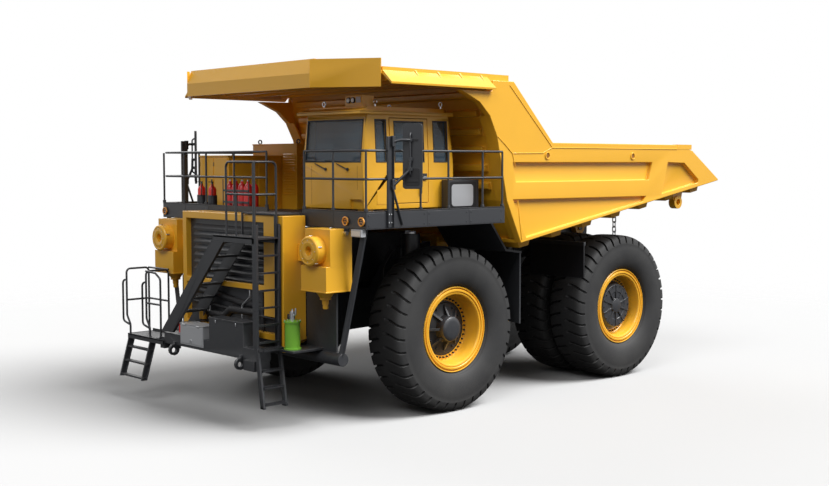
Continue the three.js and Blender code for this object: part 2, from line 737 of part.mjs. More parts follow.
function makeRearAxle() {
  const half = [
    [200, rearTrackHalf + 30], [200, rearTrackHalf - 150], [600, rearTrackHalf - 150], [600, 830],
    [560, 760], [520, 600],
  ];
  const profile = [[0, half[0][1]], ...half, ...half.map(([r, a]) => [r, -a]).reverse(), [0, -half[0][1]]];
  const housing = turned(profile, 0, wheelbase, axleHeight, 24);
  const nose = alongX([[wheelbase - 300, 1300], [wheelbase - 300, 1900], [3900, 1900], [3560 + seat, 1900],
    [3560 + seat, 1740], [3900, 1700]], -260, 260);
  const ears = bothSides(290, 430, wheelbase + 410, wheelbase + 780, 1380, 1620);
  return joined(housing, nose, ears);
}

function makeRearStrut() {
  const x = 360;
  const y = wheelbase + 700;
  return joined(bar([x, y, 1620 + seat], [x, y, 2250], 85, 12), bar([x, y, 2150], [x, y, 2870], 120, 12));
}

// ---------------------------------------------------------------- dump bed
const floorLine = (y, lift) => [y, floorUnder(y) + lift];

function makeBedFloor() {
  const plate = alongX([floorLine(bedFrontY, 0), floorLine(bedTailY, 0), floorLine(bedTailY, bedWall),
    floorLine(bedFrontY, bedWall)], -bedInner + seat, bedInner - seat);
  const parts = [plate];
  const bolsterPitch = 960;
  for (let i = 0; i < 7; i += 1) {
    const y = bedFrontY + 120 + i * bolsterPitch;
    const end = bedInner - 60;
    const depth = 140;
    parts.push(alongX([floorLine(y, 1), floorLine(y + 60, -depth), floorLine(y + 320, -depth),
      floorLine(y + 380, 1)], -end, end));
  }
  const beam = [floorLine(bedFrontY + 100, 1), floorLine(bedFrontY + 100, -beamDepth),
    floorLine(5600, -beamDepth), floorLine(6500, -200), floorLine(7000, 1)];
  parts.push(alongX(beam, railInner + 10, railOuter - 10), alongX(beam, -railOuter + 10, -railInner - 10));
  for (const y of padPlaces) {
    const pad = [floorLine(y, -beamDepth + 1), floorLine(y, -beamDepth - padHeight),
      floorLine(y + 500, -beamDepth - padHeight), floorLine(y + 500, -beamDepth + 1)];
    parts.push(alongX(pad, railInner + 20, railOuter - 20), alongX(pad, -railOuter + 20, -railInner - 20));
  }
  // pivot lugs
  const lug = cut(joined(
    bar([railOuter + 20, pivotY, pivotZ], [railOuter + 150, pivotY, pivotZ], 165, 12),
    alongX([[pivotY - 165, pivotZ], [pivotY + 165, pivotZ], floorLine(pivotY + 300, 1), floorLine(pivotY - 300, 1)],
      railOuter + 20, railOuter + 150)),
  bar([railOuter + 10, pivotY, pivotZ], [railOuter + 160, pivotY, pivotZ], pivotRadius + pinGap, 12));
  parts.push(lug, mirrored(lug));
  // hoist head lugs: one plate inside each rod eye
  const head = joined(
    alongX([[hoistHeadY - 110, hoistHeadZ], [hoistHeadY + 110, hoistHeadZ], floorLine(hoistHeadY + 220, 1),
      floorLine(hoistHeadY - 220, 1)], hoistHalf - 190, hoistHalf - 115),
    bar([hoistHalf - 190, hoistHeadY, hoistHeadZ], [hoistHalf - 115, hoistHeadY, hoistHeadZ], 110, 12));
  parts.push(head, mirrored(head));
  return joined(parts);
}

const archPoints = [[1000, 3900], [720, 5100], [520, 5480], [250, 5720], [-250, 5925]];

function makeBedSide() {
  const edge = [
    [bedFrontY, bedFrontZ], ...archPoints, [590, 5935], [610, 6128], [canopyRearY, 6128],
    [2320, bedRailTop], [6470, bedRailTop], [7090, 4880], [bedTailY, floorUnder(bedTailY) + 30],
    [bedTailY, floorUnder(bedTailY)],
  ];
  const plate = alongX(edge, bedInner, bedHalf);
  const panel = [[1250, 4250], [1160, 4620], [5600, 4620], [5480, 4250]];
  const lower = [[1180, 3920], [5380, 3900], [5300, floorUnder(5300) + 60], [1560, floorUnder(1560) + 70]];
  const rear = [[6180, 4620], [6800, 4600], [7350, 4240], [7350, floorUnder(7350) + 90],
    [5960, floorUnder(5960) + 90]];
  const pockets = [alongX(panel, bedHalf - 80, bedHalf + 1), alongX(lower, bedHalf - 80, bedHalf + 1),
    alongX(rear, bedHalf - 80, bedHalf + 1)];
  // flange that faces forward along the front edge and the arch
  const outer = [[bedFrontY, bedFrontZ + 70], ...archPoints];
  const flangeStrip = alongX([...outer.slice(0, 4), ...[...outer.slice(0, 4)].reverse().map(([y, z]) => [y + 50, z])],
    2800, bedInner + 1);
  return joined(cut(plate, pockets), flangeStrip);
}

function makeFrontWall() {
  const shift = 56;
  const foot = bedFrontY + shift;
  const front = [floorLine(foot, bedWall + seat), [1000 + shift, 3900], [720 + shift, 5100],
    [480 + shift, canopyUnder - seat]];
  const back = [[480 + shift + bedWall, canopyUnder - seat], [720 + shift + bedWall, 5100],
    [1000 + shift + bedWall, 3900], floorLine(foot + bedWall, bedWall + seat)];
  const plate = alongX([...front, ...back], -bedInner + seat, bedInner - seat);
  const ribs = [];
  const lean = 280 / 1200;
  for (let z = 4100; z < 5900; z += 340) {
    const y = 1000 + shift - (z - 3900) * lean;
    ribs.push(alongX([[y + 5, z], [y - 110, z + 20], [y - 130, z + 120], [y - 30, z + 150]], -2700, 2700));
  }
  return joined(plate, ribs);
}

function makeCanopy() {
  const y1 = canopyRearY;
  const half = bedInner - seat;
  const sheet = joined(
    alongZ([[-1930, canopyNose + 60], [1930, canopyNose + 60], [half, -2040], [half, y1], [-half, y1],
      [-half, -2040]], canopyUnder, canopyUnder + 60));
  const nose = alongX([[canopyNose - 100, 5906], [canopyNose - 60, 5906], [canopyNose - 55, 6150],
    [canopyNose + 61, 6190], [canopyNose + 61, canopyTop], [canopyNose + 40, canopyLip], [canopyNose, canopyLip],
    [canopyNose - 100, 6150]], -1930, 1930);
  const cornerPlan = [[1929, canopyNose - 98], [1929, canopyNose - 40], [canopyHalf - 40, -1990],
    [canopyHalf, -2040]];
  const corner = alongZ(cornerPlan, 5906, 6390);
  const eave = alongY([[canopyHalf - 70, canopyUnder + 1], [canopyHalf - 8, canopyUnder + 1],
    [canopyHalf - 8, canopyUnder - 10], [canopyHalf + 226, 5952], [canopyHalf + 230, 5985],
    [canopyHalf, canopyUnder + 60], [canopyHalf, canopyTop], [canopyHalf - 70, canopyTop]], -2000, 585);
  const rearRail = bothSides(2800, half, 500, y1, canopyUnder, canopyTop);
  const gussets = [-1250, -700, -150, 400].map((y) => alongY([[canopyHalf - 5, canopyTop - 20],
    [canopyHalf + 150, 6040], [canopyHalf - 5, 6040]], y, y + 40));
  const ribs = [-1900, -1150, -400, 300].map((y) => box(-half, half, y, y + 90, canopyUnder - 110, canopyUnder + 1));
  const sides = [eave, ...gussets, corner];
  return joined(sheet, nose, sides, sides.map(mirrored), rearRail, ribs);
}

// ---------------------------------------------------------------- hoist cylinders
const hoistAngle = Math.atan2(hoistHeadZ - hoistFootZ, hoistHeadY - hoistFootY);
const hoistClosed = Math.hypot(hoistHeadZ - hoistFootZ, hoistHeadY - hoistFootY);

function alongHoist(distance) {
  return [hoistHalf, hoistFootY + distance * Math.cos(hoistAngle), hoistFootZ + distance * Math.sin(hoistAngle)];
}

function makeHoistBarrel() {
  const tube = cut(bar(alongHoist(100), alongHoist(barrelLength), barrelRadius, 14),
    bar(alongHoist(180), alongHoist(barrelLength + 10), rodRadius + pinGap, 14));
  const eye = bar([hoistHalf - 100, hoistFootY, hoistFootZ], [hoistHalf + 100, hoistFootY, hoistFootZ], 140, 12);
  const bore = bar([hoistHalf - 110, hoistFootY, hoistFootZ], [hoistHalf + 110, hoistFootY, hoistFootZ],
    hoistPin + pinGap, 12);
  return cut(joined(tube, eye), bore);
}

function makeHoistRod() {
  const rod = bar(alongHoist(hoistClosed - rodLength), alongHoist(hoistClosed - 60), rodRadius, 14);
  const eye = bar([hoistHalf - 60, hoistHeadY, hoistHeadZ], [hoistHalf + 60, hoistHeadY, hoistHeadZ], 125, 12);
  // the pin ends short of the lug on the bed
  const pin = bar([hoistHalf - 109, hoistHeadY, hoistHeadZ], [hoistHalf + 90, hoistHeadY, hoistHeadZ], hoistPin, 12);
  return joined(rod, eye, pin);
}

// ---------------------------------------------------------------- the whole truck
function pair(name, shape, ...look) {
  finish(`${name}_left`, shape, ...look);
  finish(`${name}_right`, mirrored(shape), ...look);
}

finish("frame", makeFrame(), darkGrey);
finish("bumper", makeBumper(), darkGrey);
finish("grease_tank", makeGreaseTank(), 0x6fb53a);
finish("radiator_frame", makeRadiatorFrame(), yellow);
finish("radiator_core", makeRadiatorCore(), black);
finish("engine", makeEngine(), darkGrey);
finish("deck", makeDeck(), darkGrey);
finish("deck_support", makeDeckSupport(), darkGrey);
finish("handrail_left", makeLeftHandrail(), darkGrey);
finish("handrail_right", makeRightHandrail(), darkGrey);
finish("front_stair", makeStair(), darkGrey);
finish("left_ladder", makeLeftLadder(), darkGrey);
finish("right_landing", makeRightLanding(), darkGrey);
finish("cab_body", makeCabBody(), yellow);
finish("cab_roof", makeCabRoof(), yellow);
finish("windscreen", makeWindscreen(), glass);
finish("cab_rear_glass", makeRearGlass(), glass);
finish("cab_right_glass", makeRightGlass(), glass);
finish("cab_door", makeDoor(), yellow);
finish("door_glass", makeDoorGlass(), glass);
finish("operator_seat", makeSeat(), black);
finish("steering_column", makeSteeringColumn(), black);
pair("air_cleaner", makeAirCleaner(), yellow);
finish("control_cabinet", makeControlCabinet(), yellow);
finish("brake_grid_box", makeGridBox(), yellow);
finish("fire_equipment", makeFireSet(), 0xb01818);
finish("battery_box", makeBatteryBox(), darkGrey);
pair("mirror", makeMirror(), darkGrey);
finish("fuel_tank", mirrored(tank(1290, 2300, 2150, 3380, 1050, 2400)), black);
finish("hydraulic_tank", tank(800, 1700, 2110, 2720, 1560, 2500), black);
pair("front_strut", makeStrut(), darkGrey);
pair("knuckle", makeKnuckle(), darkGrey);
finish("tie_rod", makeTieRod(), darkGrey);
pair("front_rim", makeFrontRim(), yellow);
pair("front_tyre", makeTyre(frontTrackHalf, 0), rubber, 0.9, 0);
finish("rear_axle", makeRearAxle(), darkGrey);
pair("rear_strut", makeRearStrut(), darkGrey);
pair("rear_rim", makeRearRim(), yellow);
pair("rear_outer_tyre", makeTyre(rearTrackHalf, wheelbase), rubber, 0.9, 0);
pair("rear_inner_tyre", makeTyre(rearTrackHalf - dualSpacing, wheelbase), rubber, 0.9, 0);
finish("bed_floor", makeBedFloor(), yellow);
pair("bed_side", makeBedSide(), yellow);
finish("bed_front_wall", makeFrontWall(), yellow);
finish("canopy", makeCanopy(), yellow);
pair("hoist_barrel", makeHoistBarrel(), darkGrey);
pair("hoist_rod", makeHoistRod(), steel, 0.2, 0.9);

// origin at the middle of the box, on the ground
const whole = new THREE.Box3().setFromObject(truck);
const middle = whole.getCenter(new THREE.Vector3());
truck.position.set(-middle.x, -middle.y, -whole.min.z);

export default truck;
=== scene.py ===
# %% [markdown]
# # A rigid mining dump truck
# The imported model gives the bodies, their places and their joints. This script dresses it:
# finishes for every surface, smooth and detailed pieces over the plain CAD solids, light and camera.
# Every cell makes one thing and prints what it made, so it can be followed from top to bottom.

import json
import math

import bmesh
import bpy
from mathutils import Matrix, Vector

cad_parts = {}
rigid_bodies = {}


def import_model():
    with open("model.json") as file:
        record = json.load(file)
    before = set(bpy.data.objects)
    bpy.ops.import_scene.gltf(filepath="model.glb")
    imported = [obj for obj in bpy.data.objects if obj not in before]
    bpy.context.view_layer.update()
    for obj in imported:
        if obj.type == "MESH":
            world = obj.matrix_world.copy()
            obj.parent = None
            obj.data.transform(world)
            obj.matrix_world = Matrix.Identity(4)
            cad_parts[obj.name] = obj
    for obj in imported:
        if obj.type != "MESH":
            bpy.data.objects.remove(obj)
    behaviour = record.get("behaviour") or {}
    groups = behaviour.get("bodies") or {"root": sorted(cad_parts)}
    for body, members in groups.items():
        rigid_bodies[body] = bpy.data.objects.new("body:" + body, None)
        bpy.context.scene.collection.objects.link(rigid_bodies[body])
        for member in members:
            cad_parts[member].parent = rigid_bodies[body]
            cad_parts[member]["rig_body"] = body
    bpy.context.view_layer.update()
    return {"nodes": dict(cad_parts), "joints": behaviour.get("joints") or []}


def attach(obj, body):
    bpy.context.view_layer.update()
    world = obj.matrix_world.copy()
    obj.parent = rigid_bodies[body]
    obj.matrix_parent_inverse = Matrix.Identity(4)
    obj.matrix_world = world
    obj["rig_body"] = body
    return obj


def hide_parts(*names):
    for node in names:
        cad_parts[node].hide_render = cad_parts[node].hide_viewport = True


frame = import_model()
nodes = frame["nodes"]
joints = {joint["name"]: joint for joint in frame["joints"]}

# %% [markdown]
# ## Where things are
# All sizes below are in metres from the front axle: +X to the operator's side, +Y to the tail, Z from
# the ground. The model's origin is the middle of its box, so each finished mesh is shifted once by the
# front axle's place, which the wheel joint gives.

# %% Main places
FRONT_AXLE = Vector(joints["front_left_wheel_spin"]["pos_m"])
REAR_AXLE = Vector(joints["rear_left_wheel_spin"]["pos_m"])
AXLE_Y = FRONT_AXLE.y
AXLE_Z = FRONT_AXLE.z
WHEELBASE = REAR_AXLE.y - FRONT_AXLE.y
SHIFT = Matrix.Translation((0, AXLE_Y, 0))
DECK_TOP = 3.64
SKIRT_TOP = 3.80
RAIL_X = 3.16
RAIL_Y = -2.545
RAIL_HIGH = 4.82
RAIL_MID = 4.34
BED_FRONT = (1.40, 3.09)
BED_SLOPE = 0.1655
# A piece that stands on another starts this far off it, so that no two faces lie in one plane.
HAIR = 0.0003
DECK_STAND = DECK_TOP + HAIR
print("wheelbase", round(WHEELBASE, 3), "axle height", round(AXLE_Z, 3))


def bed_under(y):
    """Height of the underside of the bed floor, which rises to the tail."""
    front_y, front_z = BED_FRONT
    return front_z + BED_SLOPE * (y - front_y)


# %% [markdown]
# ## Camera
# A lens of about 51 mm looks from the front left, a little above a person's eyes, so that the nose and
# the operator's side both show. It is turned by angles and not by a Track To constraint, because then
# its place and its aim can be set apart.

# %% Camera
camera_data = bpy.data.cameras.new("camera")
camera_data.sensor_width = 36
camera_data.lens = 51.22
camera = bpy.data.objects.new("camera", camera_data)
camera.location = (18.02, -15.41 + AXLE_Y, 4.636)
camera.rotation_euler = (math.radians(86.05), 0, math.radians(46.76))
bpy.context.scene.collection.objects.link(camera)
bpy.context.scene.camera = camera
bpy.context.scene.view_settings.view_transform = "Standard"
print("camera", tuple(round(v, 3) for v in camera.location))

# %% [markdown]
# ## Writing node trees as sums
# Materials could be drawn by hand in the Shader Editor, but a script can be read and changed. A Wire
# wraps one socket. Adding or multiplying wires adds the Math nodes, so a mask reads as a line of
# arithmetic. One method, Graph.add, makes every other node: its type, its settings, then its sockets.


# %% Wires and graphs
class Wire:
    def __init__(self, graph, socket):
        self.graph = graph
        self.socket = socket

    def math(self, operation, *values):
        return self.graph.add("ShaderNodeMath", {"operation": operation}, dict(enumerate(values)))

    def __add__(self, other):
        return self.math("ADD", self, other)

    def __sub__(self, other):
        return self.math("SUBTRACT", self, other)

    def __rsub__(self, other):
        return self.math("SUBTRACT", other, self)

    def __mul__(self, other):
        return self.math("MULTIPLY", self, other)

    __radd__ = __add__
    __rmul__ = __mul__

    def clamped(self):
        return self.graph.add("ShaderNodeClamp", None, {0: self})

    def between(self, low, high):
        """0 below low, 1 above high, and smooth in the middle."""
        return self.graph.add("ShaderNodeMapRange", {"interpolation_type": "SMOOTHSTEP"},
                              {"Value": self, "From Min": low, "From Max": high})


class Graph:
    def __init__(self, tree):
        self.tree = tree

    def add(self, kind, settings=None, links=None, output=0):
        node = self.tree.nodes.new(kind)
        for name, value in (settings or {}).items():
            if name == "stops":
                for index, (position, colour) in enumerate(value):
                    elements = node.color_ramp.elements
                    stop = elements[index] if index < 2 else elements.new(position)
                    stop.position = position
                    stop.color = (*colour, 1)
            else:
                setattr(node, name, value)
        for name, value in (links or {}).items():
            if isinstance(value, Wire):
                self.tree.links.new(value.socket, node.inputs[name])
            else:
                node.inputs[name].default_value = value
        return Wire(self, node.outputs[output]) if node.outputs else None

    def noise(self, place, scale, detail=3):
        return self.add("ShaderNodeTexNoise", None, {"Vector": place, "Scale": scale, "Detail": detail})

    def mix(self, mask, first, second):
        colours = [value if isinstance(value, Wire) else (*value, 1) for value in (first, second)]
        return self.add("ShaderNodeMix", {"data_type": "RGBA"}, {0: mask, 6: colours[0], 7: colours[1]}, 2)

    def place(self, output="Object"):
        return self.add("ShaderNodeTexCoord", None, None, output)

    def height(self, place):
        return self.add("ShaderNodeSeparateXYZ", None, {0: place}, "Z")

    def bump(self, height, strength, distance=0.002):
        return self.add("ShaderNodeBump", None,
                        {"Strength": strength, "Distance": distance, "Height": height})


print("node helpers ready")

# %% [markdown]
# ## Finishes
# The truck is new and clean, so its paint varies by only a few per cent, carries a fine orange peel, and
# gathers a little pale dust low down and on its level faces. An image could hold all that, but noise in
# Object coordinates has no seams and no end to its detail. A recipe is a function that gives the values
# of the shader's sockets, so each finish is only as long as what sets it apart.


# %% Finishes from a recipe
def empty_material(name):
    made = bpy.data.materials.new(name)
    made.use_nodes = True
    made.node_tree.nodes.clear()
    return made, Graph(made.node_tree)


def finish(name, recipe):
    made, graph = empty_material(name)
    shader = graph.add("ShaderNodeBsdfPrincipled", None, recipe(graph, graph.place()))
    graph.add("ShaderNodeOutputMaterial", None, {"Surface": shader})
    return made


DUST = (0.42, 0.36, 0.28)


def tint(colour, factor):
    return tuple(min(1.0, channel * factor) for channel in colour)


ORANGE_PEEL = 0.05


def painted(colour, roughness=0.38, dust=0.10, coat=0.25):
    def recipe(graph, place):
        patches = graph.noise(place, 0.9, 4)
        specks = graph.noise(place, 14, 5)
        level = graph.height(graph.place("Normal")).between(0.6, 1.0)
        low = 1 - graph.height(place).between(0.2, 2.6)
        dusty = ((low * 0.7 + level * 0.6) * specks.between(0.35, 0.75) * dust).clamped()
        paint = graph.mix(patches, tint(colour, 0.93), tint(colour, 1.05))
        return {"Base Color": graph.mix(dusty, paint, DUST),
                "Roughness": specks * 0.12 + (roughness - 0.06) + dusty * 0.3,
                "Coat Weight": coat,
                "Coat Roughness": 0.12,
                "Normal": graph.bump(graph.noise(place, 160, 2), ORANGE_PEEL)}
    return recipe


yellow = finish("yellow_paint", painted((0.88, 0.455, 0.026)))
# painted shade: a darker copy of the yellow, used for the shade inside the lifting holes and in the cab's
# panel seams
painted_shade_yellow = finish("shaded_yellow_paint", painted((0.30, 0.12, 0.010), 0.5))
dark = finish("dark_grey_paint", painted((0.030, 0.032, 0.037), 0.42, 0.05, 0.15))
black = finish("black_paint", painted((0.010, 0.010, 0.012), 0.50, 0.04, 0.0))
pale = finish("light_grey_paint", painted((0.46, 0.47, 0.49), 0.42, 0.06))
green = finish("green_paint", painted((0.21, 0.52, 0.045), 0.32, 0.06))
red = finish("red_paint", painted((1.00, 0.030, 0.018), 0.32, 0.0))
deep_red = finish("dark_red_paint", painted((0.62, 0.008, 0.008), 0.35, 0.0))
print("paints", len(bpy.data.materials))


# %% [markdown]
# The other finishes follow the same form. Rubber is matt with a bloom of dust, steel is brushed one way,
# and the tinted glass lets part of the light through by its alpha, which costs less than refraction and
# looks the same in a thin pane. Lamp lenses are ribbed by a wave pattern.


# %% Rubber, plastic, steel, glass and lamps
def rubber_recipe(graph, place):
    bloom = graph.noise(place, 2.2, 5)
    fine = graph.noise(place, 60, 4)
    shade = graph.mix(bloom.between(0.3, 0.75), (0.017, 0.017, 0.018), (0.028, 0.028, 0.028))
    dusty = (1 - graph.height(place).between(0.0, 1.2)) * fine.between(0.4, 0.7) * 0.04
    return {"Base Color": graph.mix(dusty, shade, DUST),
            "Roughness": bloom * 0.10 + 0.66,
            "Normal": graph.bump(fine, 0.22, 0.004)}


def plastic_recipe(graph, place):
    grain = graph.add("ShaderNodeTexVoronoi", None, {"Vector": place, "Scale": 380})
    shade = graph.mix(graph.noise(place, 5), (0.020, 0.020, 0.022), (0.034, 0.034, 0.036))
    return {"Base Color": shade, "Roughness": graph.noise(place, 30) * 0.15 + 0.5,
            "Normal": graph.bump(grain, 0.15, 0.001)}


def steel_recipe(colour, roughness):
    def recipe(graph, place):
        brushed = graph.add("ShaderNodeMapping", None, {"Vector": place, "Scale": (3.0, 3.0, 90.0)})
        streaks = graph.noise(brushed, 8, 4)
        return {"Base Color": graph.mix(streaks, tint(colour, 0.85), tint(colour, 1.1)),
                "Metallic": 1.0, "Roughness": streaks * 0.14 + roughness}
    return recipe


def glass_recipe(graph, place):
    film = graph.noise(place, 1.6, 4).between(0.35, 0.75)
    return {"Base Color": graph.mix(film, (0.070, 0.115, 0.155), (0.105, 0.160, 0.210)),
            "Roughness": film * 0.05 + 0.03, "Alpha": film * 0.10 + 0.42,
            "Specular IOR Level": 0.5, "Coat Weight": 0.2}


def lamp_recipe(colour):
    def recipe(graph, place):
        ribs = graph.add("ShaderNodeTexWave", None, {"Vector": place, "Scale": 26.0})
        return {"Base Color": graph.mix(ribs, tint(colour, 0.7), tint(colour, 1.2)),
                "Roughness": ribs * 0.1 + 0.12, "Coat Weight": 1.0}
    return recipe


def cloth_recipe(graph, place):
    weave = graph.add("ShaderNodeTexChecker", None, {"Vector": place, "Scale": 420.0}, 1)
    shade = graph.mix(graph.noise(place, 12), (0.020, 0.021, 0.024), (0.042, 0.043, 0.048))
    return {"Base Color": shade, "Roughness": weave * 0.08 + 0.82,
            "Normal": graph.bump(weave, 0.25, 0.001), "Sheen Weight": 0.25}


rubber = finish("tyre_rubber", rubber_recipe)
plastic = finish("black_plastic", plastic_recipe)
steel = finish("bright_steel", steel_recipe((0.62, 0.63, 0.65), 0.24))
chrome = finish("ground_chrome", steel_recipe((0.82, 0.83, 0.85), 0.08))
glass = finish("tinted_glass", glass_recipe)
mirror_glass = finish("mirror_glass", steel_recipe((0.86, 0.88, 0.90), 0.02))
amber = finish("amber_lens", lamp_recipe((0.85, 0.33, 0.02)))
red_lens = finish("red_lens", lamp_recipe((0.55, 0.01, 0.01)))
clear_lens = finish("clear_lens", lamp_recipe((0.72, 0.74, 0.76)))
seat_cloth = finish("seat_cloth", cloth_recipe)
print("finishes", len(bpy.data.materials))


# %% [markdown]
# The deck and the steps are chequer plate: short raised bars that lie both ways. They are too small to
# model one by one, so two crossed patterns of stretched cells become a bump, on the level faces only.

# %% Chequer plate
def plate_recipe(graph, place):
    sockets = painted((0.032, 0.034, 0.039), 0.5, 0.08, 0.0)(graph, place)
    level = graph.height(graph.place("Normal")).between(0.9, 1.0)
    bars = []
    for turn in (45, -45):
        turned = graph.add("ShaderNodeMapping", None,
                           {"Vector": place, "Rotation": (0, 0, math.radians(turn)), "Scale": (30, 11, 1)})
        cells = graph.add("ShaderNodeTexVoronoi", {"feature": "F1"}, {"Vector": turned, "Scale": 1.0})
        bars.append(1 - cells.between(0.15, 0.35))
    sockets["Normal"] = graph.bump((bars[0] + bars[1]).clamped() * level, 0.5, 0.004)
    return sockets


plate = finish("chequer_plate", plate_recipe)
print(plate.name)


# %% [markdown]
# ## Mesh helpers
# Nearly every piece is a loft: rings of points joined by faces. A box has two rings, a turned part has
# one for each point of its profile, and a strip has one for each point of its path. Blender's own
# primitives could be placed and joined instead, but a loft says each size once, in the truck's own
# frame, and one Shape can hold a whole assembly with several finishes.

# %% Shapes
AXES = {"x": lambda t, u, v: (t, u, v), "y": lambda t, u, v: (u, t, v), "z": lambda t, u, v: (u, v, t)}
WELD = 0.00002


def angles(steps, shift=0.0):
    """Even angles round a full turn. shift moves them on by a share of a step."""
    return [2 * math.pi * (i + shift) / steps for i in range(steps)]


def link_object(name, data):
    made = bpy.data.objects.new(name, data)
    bpy.context.scene.collection.objects.link(made)
    return made


def built_object(name, mesh, inks):
    """Turns a bmesh into an object of the scene, with its finishes."""
    data = bpy.data.meshes.new(name)
    mesh.to_mesh(data)
    mesh.free()
    for ink in inks:
        data.materials.append(ink)
    return link_object(name, data)


class Shape:
    """A mesh in the making. Each method adds faces and gives the shape back, so calls can be chained."""

    def __init__(self, ink):
        self.mesh = bmesh.new()
        self.inks = []
        self.use(ink)

    def use(self, ink):
        """Faces added from here on have this finish."""
        if ink not in self.inks:
            self.inks.append(ink)
        self.ink = self.inks.index(ink)
        return self

    def face(self, corners):
        self.mesh.faces.new(corners).material_index = self.ink

    def loft(self, rings, loop=False):
        rows = [[self.mesh.verts.new(point) for point in ring] for ring in rings]
        steps = list(zip(rows, rows[1:])) + ([(rows[-1], rows[0])] if loop else [])
        for near, far in steps:
            for i in range(len(near)):
                j = (i + 1) % len(near)
                self.face((near[i], near[j], far[j], far[i]))
        if not loop:
            self.face(rows[0][::-1])
            self.face(rows[-1])
        return self

    def box(self, x0, x1, y0, y1, z0, z1):
        ring = [(x0, y0), (x1, y0), (x1, y1), (x0, y1)]
        return self.loft([[(x, y, z) for x, y in ring] for z in (z0, z1)])

    def prism(self, outline, along, start, end):
        place = AXES[along]
        return self.loft([[place(t, u, v) for u, v in outline] for t in (start, end)])

    def turn(self, profile, centre, along="x", steps=48, loop=False):
        """A profile of (distance along, radius) turned about an axis through centre."""
        place = AXES[along]
        rings = []
        for distance, radius in profile:
            ring = [place(distance, radius * math.cos(a), radius * math.sin(a)) for a in angles(steps)]
            rings.append([Vector(centre) + Vector(p) for p in ring])
        return self.loft(rings, loop)

    def eye(self, centre, half_width, bore, radius, along="x", steps=36):
        """A bored ring, as for a pin or a hook."""
        profile = [(-half_width, bore), (half_width, bore), (half_width, radius), (-half_width, radius)]
        return self.turn(profile, centre, along, steps, loop=True)

    def rod(self, start, end, radius, steps=20, ease=0.0):
        """A round bar between two points. ease is a chamfer at both ends."""
        start, end = Vector(start), Vector(end)
        way = (end - start).normalized()
        side = way.orthogonal().normalized()
        up = way.cross(side)
        stations = [(start, radius), (end, radius)]
        if ease:
            stations = [(start, radius - ease), (start + way * ease, radius),
                        (end - way * ease, radius), (end, radius - ease)]
        return self.loft([[middle + (side * math.cos(a) + up * math.sin(a)) * r for a in angles(steps)]
                          for middle, r in stations])

    def add(self, mesh):
        """Takes in a finished mesh with the present finish."""
        before = set(self.mesh.faces)
        self.mesh.from_mesh(mesh)
        for f in self.mesh.faces:
            if f not in before:
                f.material_index = self.ink
        return self

    def moved(self, matrix):
        self.mesh.transform(matrix)
        return self

    def object(self, name):
        """The plain object. Doubles are merged first, then closed shells are turned outwards."""
        bmesh.ops.remove_doubles(self.mesh, verts=self.mesh.verts, dist=WELD)
        bmesh.ops.recalc_face_normals(self.mesh, faces=self.mesh.faces)
        return built_object(name, self.mesh, self.inks)

    def object_mesh(self):
        """The finished mesh alone, to be taken into another shape."""
        made = self.object("part")
        mesh = made.data
        bpy.data.objects.remove(made)
        return mesh


print("shape helpers ready")


# %% [markdown]
# ## Finishing a piece
# A piece is shifted to its place, mirrored if it is the right-hand one, given slightly rounded edges
# by a Bevel modifier, and set to ride on its body. Real plate edges are never perfectly sharp, and
# the thin highlight along them is what makes painted steel look solid. Rounding each box by hand would
# take many more rings, so the modifier does it for every edge that is sharper than a limit.

# %% Pieces
INKS_OF_SLOT = {
    "yellow_paint": (yellow, painted_shade_yellow), "grey_metal": (dark, plate), "black_metal": (black,),
    "light_grey_paint": (pale,), "green_paint": (green,), "red_paint": (red, deep_red),
    "tyre_rubber": (rubber,), "black_plastic": (plastic, seat_cloth), "chrome_rod": (steel, chrome),
    "window_glass": (glass,)}
SLOTS = {ink.name: slot for slot, inks in INKS_OF_SLOT.items() for ink in inks}


BEVEL_ABOVE = math.radians(35)
SHARP_ABOVE = 32


def soften(made, width, segments=2):
    if width:
        bevel = made.modifiers.new("soft_edges", "BEVEL")
        bevel.width = width
        bevel.segments = segments
        bevel.limit_method = "ANGLE"
        bevel.angle_limit = BEVEL_ABOVE


def smooth(mesh, angle=SHARP_ABOVE):
    mesh.shade_smooth()
    mesh.set_sharp_from_angle(angle=math.radians(angle))


def piece(name, body, shape, replaces=(), bevel=0.004, mirror=False):
    if mirror:
        shape.moved(Matrix.Scale(-1, 4, (1, 0, 0)))
    made = shape.moved(SHIFT).object(name)
    smooth(made.data)
    soften(made, bevel)
    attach(made, body)
    if replaces:
        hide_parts(*replaces)
    print(name, len(made.data.polygons), "faces")
    return made


def pair(name, body, make, replaces="", bevel=0.004):
    """The same piece on both sides. A body or node name takes left or right in place of the star."""
    for side in ("left", "right"):
        taken = [replaces.replace("*", side)] if replaces else []
        piece(f"{name}_{side}", body.replace("*", side), make(), taken, bevel, side == "right")


# %% [markdown]
# ## Geometry Nodes that repeat and that draw pipes
# Bolts, rungs, louvres, ribs, tyre lugs and chain links are one small mesh copied by a rule. An Array
# modifier could copy in a row, but not turn about a centre without a helper object, so one tree serves
# them all: each copy is moved by a step and turned by an angle about a centre, times its index.


# %% A tree that repeats a mesh
def new_tree(name, sockets):
    tree = bpy.data.node_groups.new(name, "GeometryNodeTree")
    tree.interface.new_socket(name="Geometry", in_out="OUTPUT", socket_type="NodeSocketGeometry")
    for socket, kind in sockets:
        tree.interface.new_socket(name=socket, in_out="INPUT", socket_type=f"NodeSocket{kind}")
    graph = Graph(tree)
    entry = tree.nodes.new("NodeGroupInput")
    inputs = {socket: Wire(graph, entry.outputs[socket]) for socket, _ in sockets}
    return tree, graph, inputs


